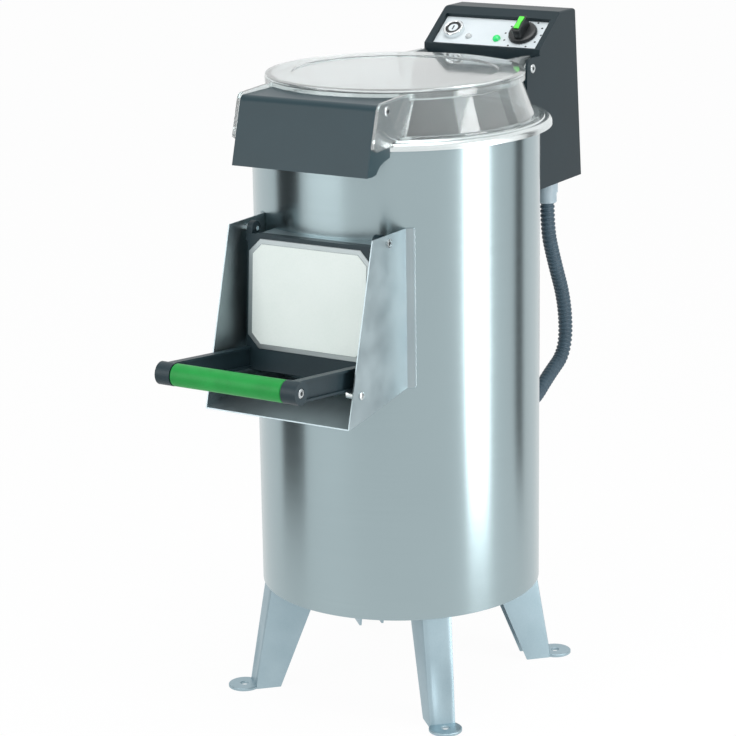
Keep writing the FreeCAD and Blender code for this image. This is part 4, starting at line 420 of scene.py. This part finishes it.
def octagon(inset, proud):
    """The door plate's eight-sided outline, drawn in by inset and standing proud of the door."""
    half, low, high, corner = 91.5 - inset, -148 + inset, -5.4 - inset, 17 - inset * 0.586
    ring = [(-half + corner, low), (half - corner, low), (half, low + corner), (half, high - corner),
            (half - corner, high), (-half + corner, high), (-half, high - corner), (-half, low + corner)]
    return [(u, -proud, v) for u, v in ring]


def plate_ring(name, rings, skin, stands_for=()):
    """A piece of the door plate from its eight-sided outlines, on the leaning face of the door."""
    ends = [tuple(range(8)), tuple(range(len(rings) * 8 - 8, len(rings) * 8))]
    settle(name, [p for ring in rings for p in ring], sleeve(len(rings), 8) + ends, skin, "door", "cover_plate_white",
           stands_for, turn=door_face, crease=18)


# Door plate: a white face inside a bevelled border
door_face = Matrix.Translation(Vector((0, -215.3, 654)) * MM) @ Matrix.Rotation(math.radians(-4), 4, "X")
plate_ring("plate_border", [octagon(0, 0), octagon(0, 0.7), octagon(0.6, 1.2), octagon(6.1, 1.35), octagon(6.5, 1.1)],
           plate_border)
plate_ring("plate_face", [octagon(6.7, 0.9), octagon(6.7, 1.7), octagon(7.1, 2.0)], plate_white, ("door_plate",))

# Handle grip: a soft sleeve, barely barrelled, with a rolled rim at each end
grip = rounded([(5.2, -81), (12.6, -81, 1.2), (14.2, -79.4, 1.2), (14.2, -70), (14.1, 0), (14.2, 70), (14.2, 79.4, 1.2),
                (12.6, 81, 1.2), (5.2, 81)])
settle("soft_grip", *lathe(grip, 96), grip_green, "door", "grip_green", ("handle_grip",),
       turn=toward(0, -401.5, 513.4, (1, 0, 0)), crease=50)

# Control panel's plane: x across, s up the slope, h out of the face, from the foot of a recess 6 deep
slope, recess = math.radians(35.6), 6
sin, cos = math.sin(slope), math.cos(slope)
panel_turn = Matrix(((1, 0, 0, 0), (0, cos, -sin, (236 + recess * sin) * MM),
                     (0, sin, cos, (840.9 - recess * cos) * MM), (0, 0, 0, 1)))


def on_panel(x, s):
    """A turn that stands local Z out of the panel's face at a place on it."""
    return panel_turn @ Matrix.Translation(Vector((x, s, 0)) * MM)


button_place, knob_x, knob_s = on_panel(-58.5, 32), 49, 34.5
knob_place = on_panel(knob_x, knob_s)

# Bezel: a chromed cup round the button
cup = rounded([(11.2, -12), (12.4, -12), (12.4, 0.2), (14.8, 0.2), (14.8, 7.2, 1), (13.6, 8.5, 0.8), (12.4, 8.5, 0.4),
               (11.2, 7.6)])
settle("bezel_cup", *lathe(cup, 96), bezel_chrome, "machine", "bezel_chrome", ("start_button_bezel",),
       turn=button_place, crease=45)
# Button: a black cap with a pale middle and a printed bar
cap = rounded([(0, -10), (10.8, -10), (10.8, 6.6, 0.8), (9.6, 7.5, 0.6), (7.6, 7.1, 0.3), (0, 6.6)])
settle("button_rim", *lathe(cap, 96), button_black, "start_button", "button_black", ("button_cap",), turn=button_place,
       crease=45)
middle = rounded([(0, 6.2), (7.2, 6.2), (7.2, 7.2, 0.4), (5.8, 7.3, 0.3), (0, 6.9)])
settle("button_middle", *lathe(middle, 72), panel_face, "start_button", "button_black", turn=button_place, crease=45)
settle("button_mark", *slab([(-1, -4), (1, -4), (1, 4), (-1, 4)], 7.0, 7.22), print_and_shade_black, "start_button",
       "button_black", turn=button_place)


def fluted(x, y, z):
    """A point of the knob's skirt, moved in and out by 24 shallow flutes near the rim."""
    reach, depth = math.hypot(x, y), 0.006
    wave = math.cos(24 * math.atan2(y, x)) if abs(reach - 20.4) < 1 else 0
    share = 1 + depth * wave - (depth if reach > 20.2 else 0)
    return x * share, y * share, z


# Knob: a fluted skirt with a waisted grip bar and a green pointer on top
points, faces = lathe([(0, 0.4), (20.3, 0.4), (20.8, 1.0), (20.8, 2.8), (19.8, 5.2), (18.2, 6.2), (15.5, 6.5),
                       (0, 6.5)])
settle("knob_skirt", [fluted(*p) for p in points], faces, knob_black, "timer", "knob_black", ("timer_knob",),
       turn=knob_place, crease=35)
bar = rounded([(-6.5, -16, 3), (6.5, -16, 3), (5.6, 0, 30), (6.5, 16, 3), (-6.5, 16, 3), (-5.6, 0, 30)])
settle("knob_bar", *slab(bar, 6.4, 21), knob_black, "timer", "knob_black", turn=knob_place, bevel=1.2)
pointer = rounded([(-4, -11.5, 1), (4, -11.5, 1), (2.9, 0, 12), (4, 11.5, 1), (-4, 11.5, 1), (-2.9, 0, 12)])
settle("pointer_bar", *slab(pointer, 21, 23.1), pointer_green, "timer", "pointer_green", ("knob_pointer",),
       turn=knob_place, bevel=0.5)

# Printed dots every 30 degrees round the knob, but for the one straight above it, which would leave the panel
dot, dot_faces = lathe([(0, 0), (1.5, 0), (1.5, 0.12), (0, 0.12)], 20)
dots, dial_radius = [], 27.5
for angle in [math.radians(-150 + 30 * k) for k in range(11) if k != 5]:
    u, v = dial_radius * math.sin(angle), dial_radius * math.cos(angle)
    dots.append(([(x + knob_x + u, y + knob_s + v, z) for x, y, z in dot], dot_faces))
settle("dial_dots", *join(*dots), print_and_shade_black, "machine", "panel_face", turn=panel_turn)


def channel(z):
    """The leg's section (u, v) at a height: a web with a dished foot between two creases, and two flanges."""
    leg_top, dish_top, thick = 147, 92, 3
    rise = z / leg_top
    web, half, depth = 213 - 25.5 * rise, 18 + 2.5 * rise, 36 + 34 * rise
    dish = 2.4 * math.sin(math.pi * min(z / dish_top, 1)) if z < dish_top else 0
    inner = half - thick
    outline = [(web - depth, -half), (web - 5, -half), (web - 1.5, -half + 1.1), (web - 0.2, -half + 3.6),
               (web - dish * 0.15, -half * 0.62), (web - dish * 0.8, -half * 0.44), (web - dish, 0)]
    inline = [(web - thick - dish, 0), (web - thick - dish * 0.8, -inner * 0.44), (web - thick, -inner * 0.66),
              (web - 3.4, -inner + 1.6), (web - 5, -inner), (web - depth, -inner)]
    outer = outline + [(u, -v) for u, v in outline[-2::-1]]
    return outer + [(u, -v) for u, v in inline[::-1]] + inline[1:]


def pressed_leg(label, degrees):
    """One leg: the tapering channel, its bolt-down lug with a hole, and the tab under the base plate."""
    heights = [0.0, 4, 10, 18, 28, 40, 52, 64, 76, 86, 92, 110, 130, 146.9]
    points = [(u, v, z) for z in heights for u, v in channel(z)]
    around = len(points) // len(heights)
    ends = [tuple(range(around))[::-1], tuple(range(len(points) - around, len(points)))]
    lug, lug_faces = lathe([(5.5, 0.5), (6.0, 0), (21.4, 0), (22, 0.6), (22, 3.2), (21.2, 4), (6.1, 4), (5.5, 3.4)], 64)
    lug_reach = 224
    lug = [(x + lug_reach, y, z) for x, y, z in lug]
    tab = slab([(125.5, -19), (185.5, -19), (185.5, 19), (125.5, 19)], 144, 147)
    whole = join((points, sleeve(len(heights), around) + ends), (lug, lug_faces), tab)
    settle(label + "_pressing", *whole, leg_steel, "machine", "leg_steel", (label,),
           turn=Matrix.Rotation(math.radians(degrees), 4, "Z"), crease=38)


for label, degrees in (("leg_rear_right", 45), ("leg_rear_left", 135), ("leg_front_left", 225),
                       ("leg_front_right", 315)):
    pressed_leg(label, degrees)

# Weld beads where the chute's flanges meet the barrel: thin and a little uneven
beads, steps, around, foot, head = [], 90, 8, 463, 667
for side in (-1, 1):
    points = []
    for k in range(steps + 1):
        thick = 0.9 + 0.25 * math.sin(k * 1.7) + 0.15 * math.sin(k * 4.3 + side)
        points += [(side * (115.0 + thick * math.cos(math.pi * i / 4)), -151.3 + thick * math.sin(math.pi * i / 4),
                    foot + (head - foot) * k / steps) for i in range(around)]
    ends = [tuple(range(around)), tuple(range(steps * around, (steps + 1) * around))]
    beads.append((points, sleeve(steps + 1, around) + ends))
settle("chute_weld_beads", *join(*beads), chute_steel, "machine", "chute_steel", crease=60)

# Screw heads over the plain ones: name, body, radius, height, socket's radius, and the place of the +X one
for row in (("cheek_screw", "lid", 6.25, 2.55, 2.9, 104.4, -198.4, 822.5),
            ("handle_screw", "door", 6.25, 2.5, 2.9, 99.95, -401.5, 513.4),
            ("pivot_screw", "machine", 5.85, 2.55, 2.9, 106.95, -203, 658.5),
            ("hinge_pin", "machine", 6.25, 2.55, 2.9, 91.05, 213, 818.5),
            ("rest_stud", "machine", 5.4, 2.6, 0, 106.95, -273.2, 479.07)):
    head_pair(*row)


def shown(tree):
    """A socket that is 1 for a ray of the camera, of gloss or through glass, and 0 for one that only lights."""
    path = add(tree, "ShaderNodeLightPath")
    seen = path.outputs["Is Camera Ray"]
    for ray in ("Is Glossy Ray", "Is Transmission Ray"):
        seen = add(tree, "ShaderNodeMath", {"operation": "MAXIMUM"}, {0: seen, 1: path.outputs[ray]}).outputs[0]
    return seen


# Floor: a white disc that glows where it is seen, all but a small share, which keeps the object's shadow
white = bpy.data.materials.new("white_studio_floor")
white.use_nodes = True
tree = white.node_tree
tree.nodes.clear()
share = add(tree, "ShaderNodeMath", {"operation": "MULTIPLY", 1: 0.965}, {0: shown(tree)})
shade = add(tree, "ShaderNodeBsdfDiffuse", {"Color": (0.9, 0.9, 0.9, 1)})
glow = add(tree, "ShaderNodeEmission", {"Strength": 1.0})
both = add(tree, "ShaderNodeMixShader", links={0: share.outputs[0], 1: shade.outputs[0], 2: glow.outputs[0]})
add(tree, "ShaderNodeOutputMaterial", links={"Surface": both.outputs[0]})
disc = bpy.data.meshes.new("floor")
corners, floor_radius = 32, 20
disc.from_pydata([(floor_radius * math.cos(k * math.pi / 16), floor_radius * math.sin(k * math.pi / 16), 0)
                  for k in range(corners)], [], [tuple(range(corners))])
disc.materials.append(white)
floor = bpy.data.objects.new("floor", disc)
bpy.context.scene.collection.objects.link(floor)

# World: white where it is seen, and a dimmer, faintly cool light on the object
sky = bpy.data.worlds.new("studio")
bpy.context.scene.world = sky
sky.use_nodes = True
tree = sky.node_tree
tree.nodes.clear()
dim = add(tree, "ShaderNodeBackground", {"Color": (0.95, 0.98, 1, 1), "Strength": 0.55})
full = add(tree, "ShaderNodeBackground", {"Color": (1, 1, 1, 1), "Strength": 1.0})
both = add(tree, "ShaderNodeMixShader", links={0: shown(tree), 1: dim.outputs[0], 2: full.outputs[0]})
add(tree, "ShaderNodeOutputWorld", links={"Surface": both.outputs[0]})


def softbox(name, place, aim, size, power):
    """A rectangular soft light at a place, turned to aim, both in metres, with its power in watts."""
    lamp = bpy.data.lights.new(name, "AREA")
    lamp.shape, lamp.size, lamp.size_y, lamp.energy = "RECTANGLE", *size, power
    holder = bpy.data.objects.new(name, lamp)
    facing = (Vector(place) - Vector(aim)).to_track_quat("Z", "Y").to_matrix().to_4x4()
    holder.matrix_world = Matrix.Translation(place) @ facing
    bpy.context.scene.collection.objects.link(holder)


# The tall softbox at the right draws the barrel's bright band, and the two broad ones fill the front and the top
softbox("key_strip", (1.1, 0.03, 0.63), (0, 0, 0.6), (0.36, 1.24), 9)
softbox("front_fill", (-1.2, -2.4, 1.3), (0, 0, 0.45), (1.6, 1.6), 22)
softbox("top_light", (0.2, -0.3, 2.6), (0, 0, 0.4), (1.5, 1.5), 22)


def flag(name, bearing, distance, width):
    """A dark card that only the metal's gloss sees, upright on the floor at a bearing, which draws a dark band."""
    card = bpy.data.meshes.new(name)
    side = Vector((-math.sin(bearing), math.cos(bearing), 0)) * width / 2
    foot = Vector((math.cos(bearing), math.sin(bearing), 0)) * distance
    tall = Vector((0, 0, 1.3))
    card.from_pydata([foot - side, foot + side, foot + side + tall, foot - side + tall], [], [(0, 1, 2, 3)])
    card.materials.append(flag_card)
    holder = bpy.data.objects.new(name, card)
    bpy.context.scene.collection.objects.link(holder)
    holder.visible_camera = holder.visible_diffuse = holder.visible_shadow = holder.visible_transmission = False


flag("left_flag", math.radians(-148), 1.0, 0.46)
flag("rear_flag", math.radians(47), 1.1, 0.22)

# Camera at the photograph's place, lens and tilt
azimuth, elevation, roll = (math.radians(v) for v in (31.299, 15.299, -0.886))
back = Vector((math.sin(azimuth) * math.cos(elevation), -math.cos(azimuth) * math.cos(elevation), math.sin(elevation)))
right = Vector((math.cos(azimuth), math.sin(azimuth), 0))
up = back.cross(right)
level = right * math.cos(roll) + up * math.sin(roll)
rise = up * math.cos(roll) - right * math.sin(roll)
lens = bpy.data.cameras.new("photo_camera")
lens.lens, lens.sensor_width = 123.24, 36
lens.clip_start, lens.clip_end = 0.1, 60
eye = bpy.data.objects.new("photo_camera", lens)
stand = Matrix.Translation(Vector((1671.5, -2828.8, 1334.5)) * MM)
eye.matrix_world = stand @ Matrix((level, rise, back)).transposed().to_4x4()
bpy.context.scene.collection.objects.link(eye)
bpy.context.scene.camera = eye
bpy.context.scene.view_settings.view_transform = "Standard"
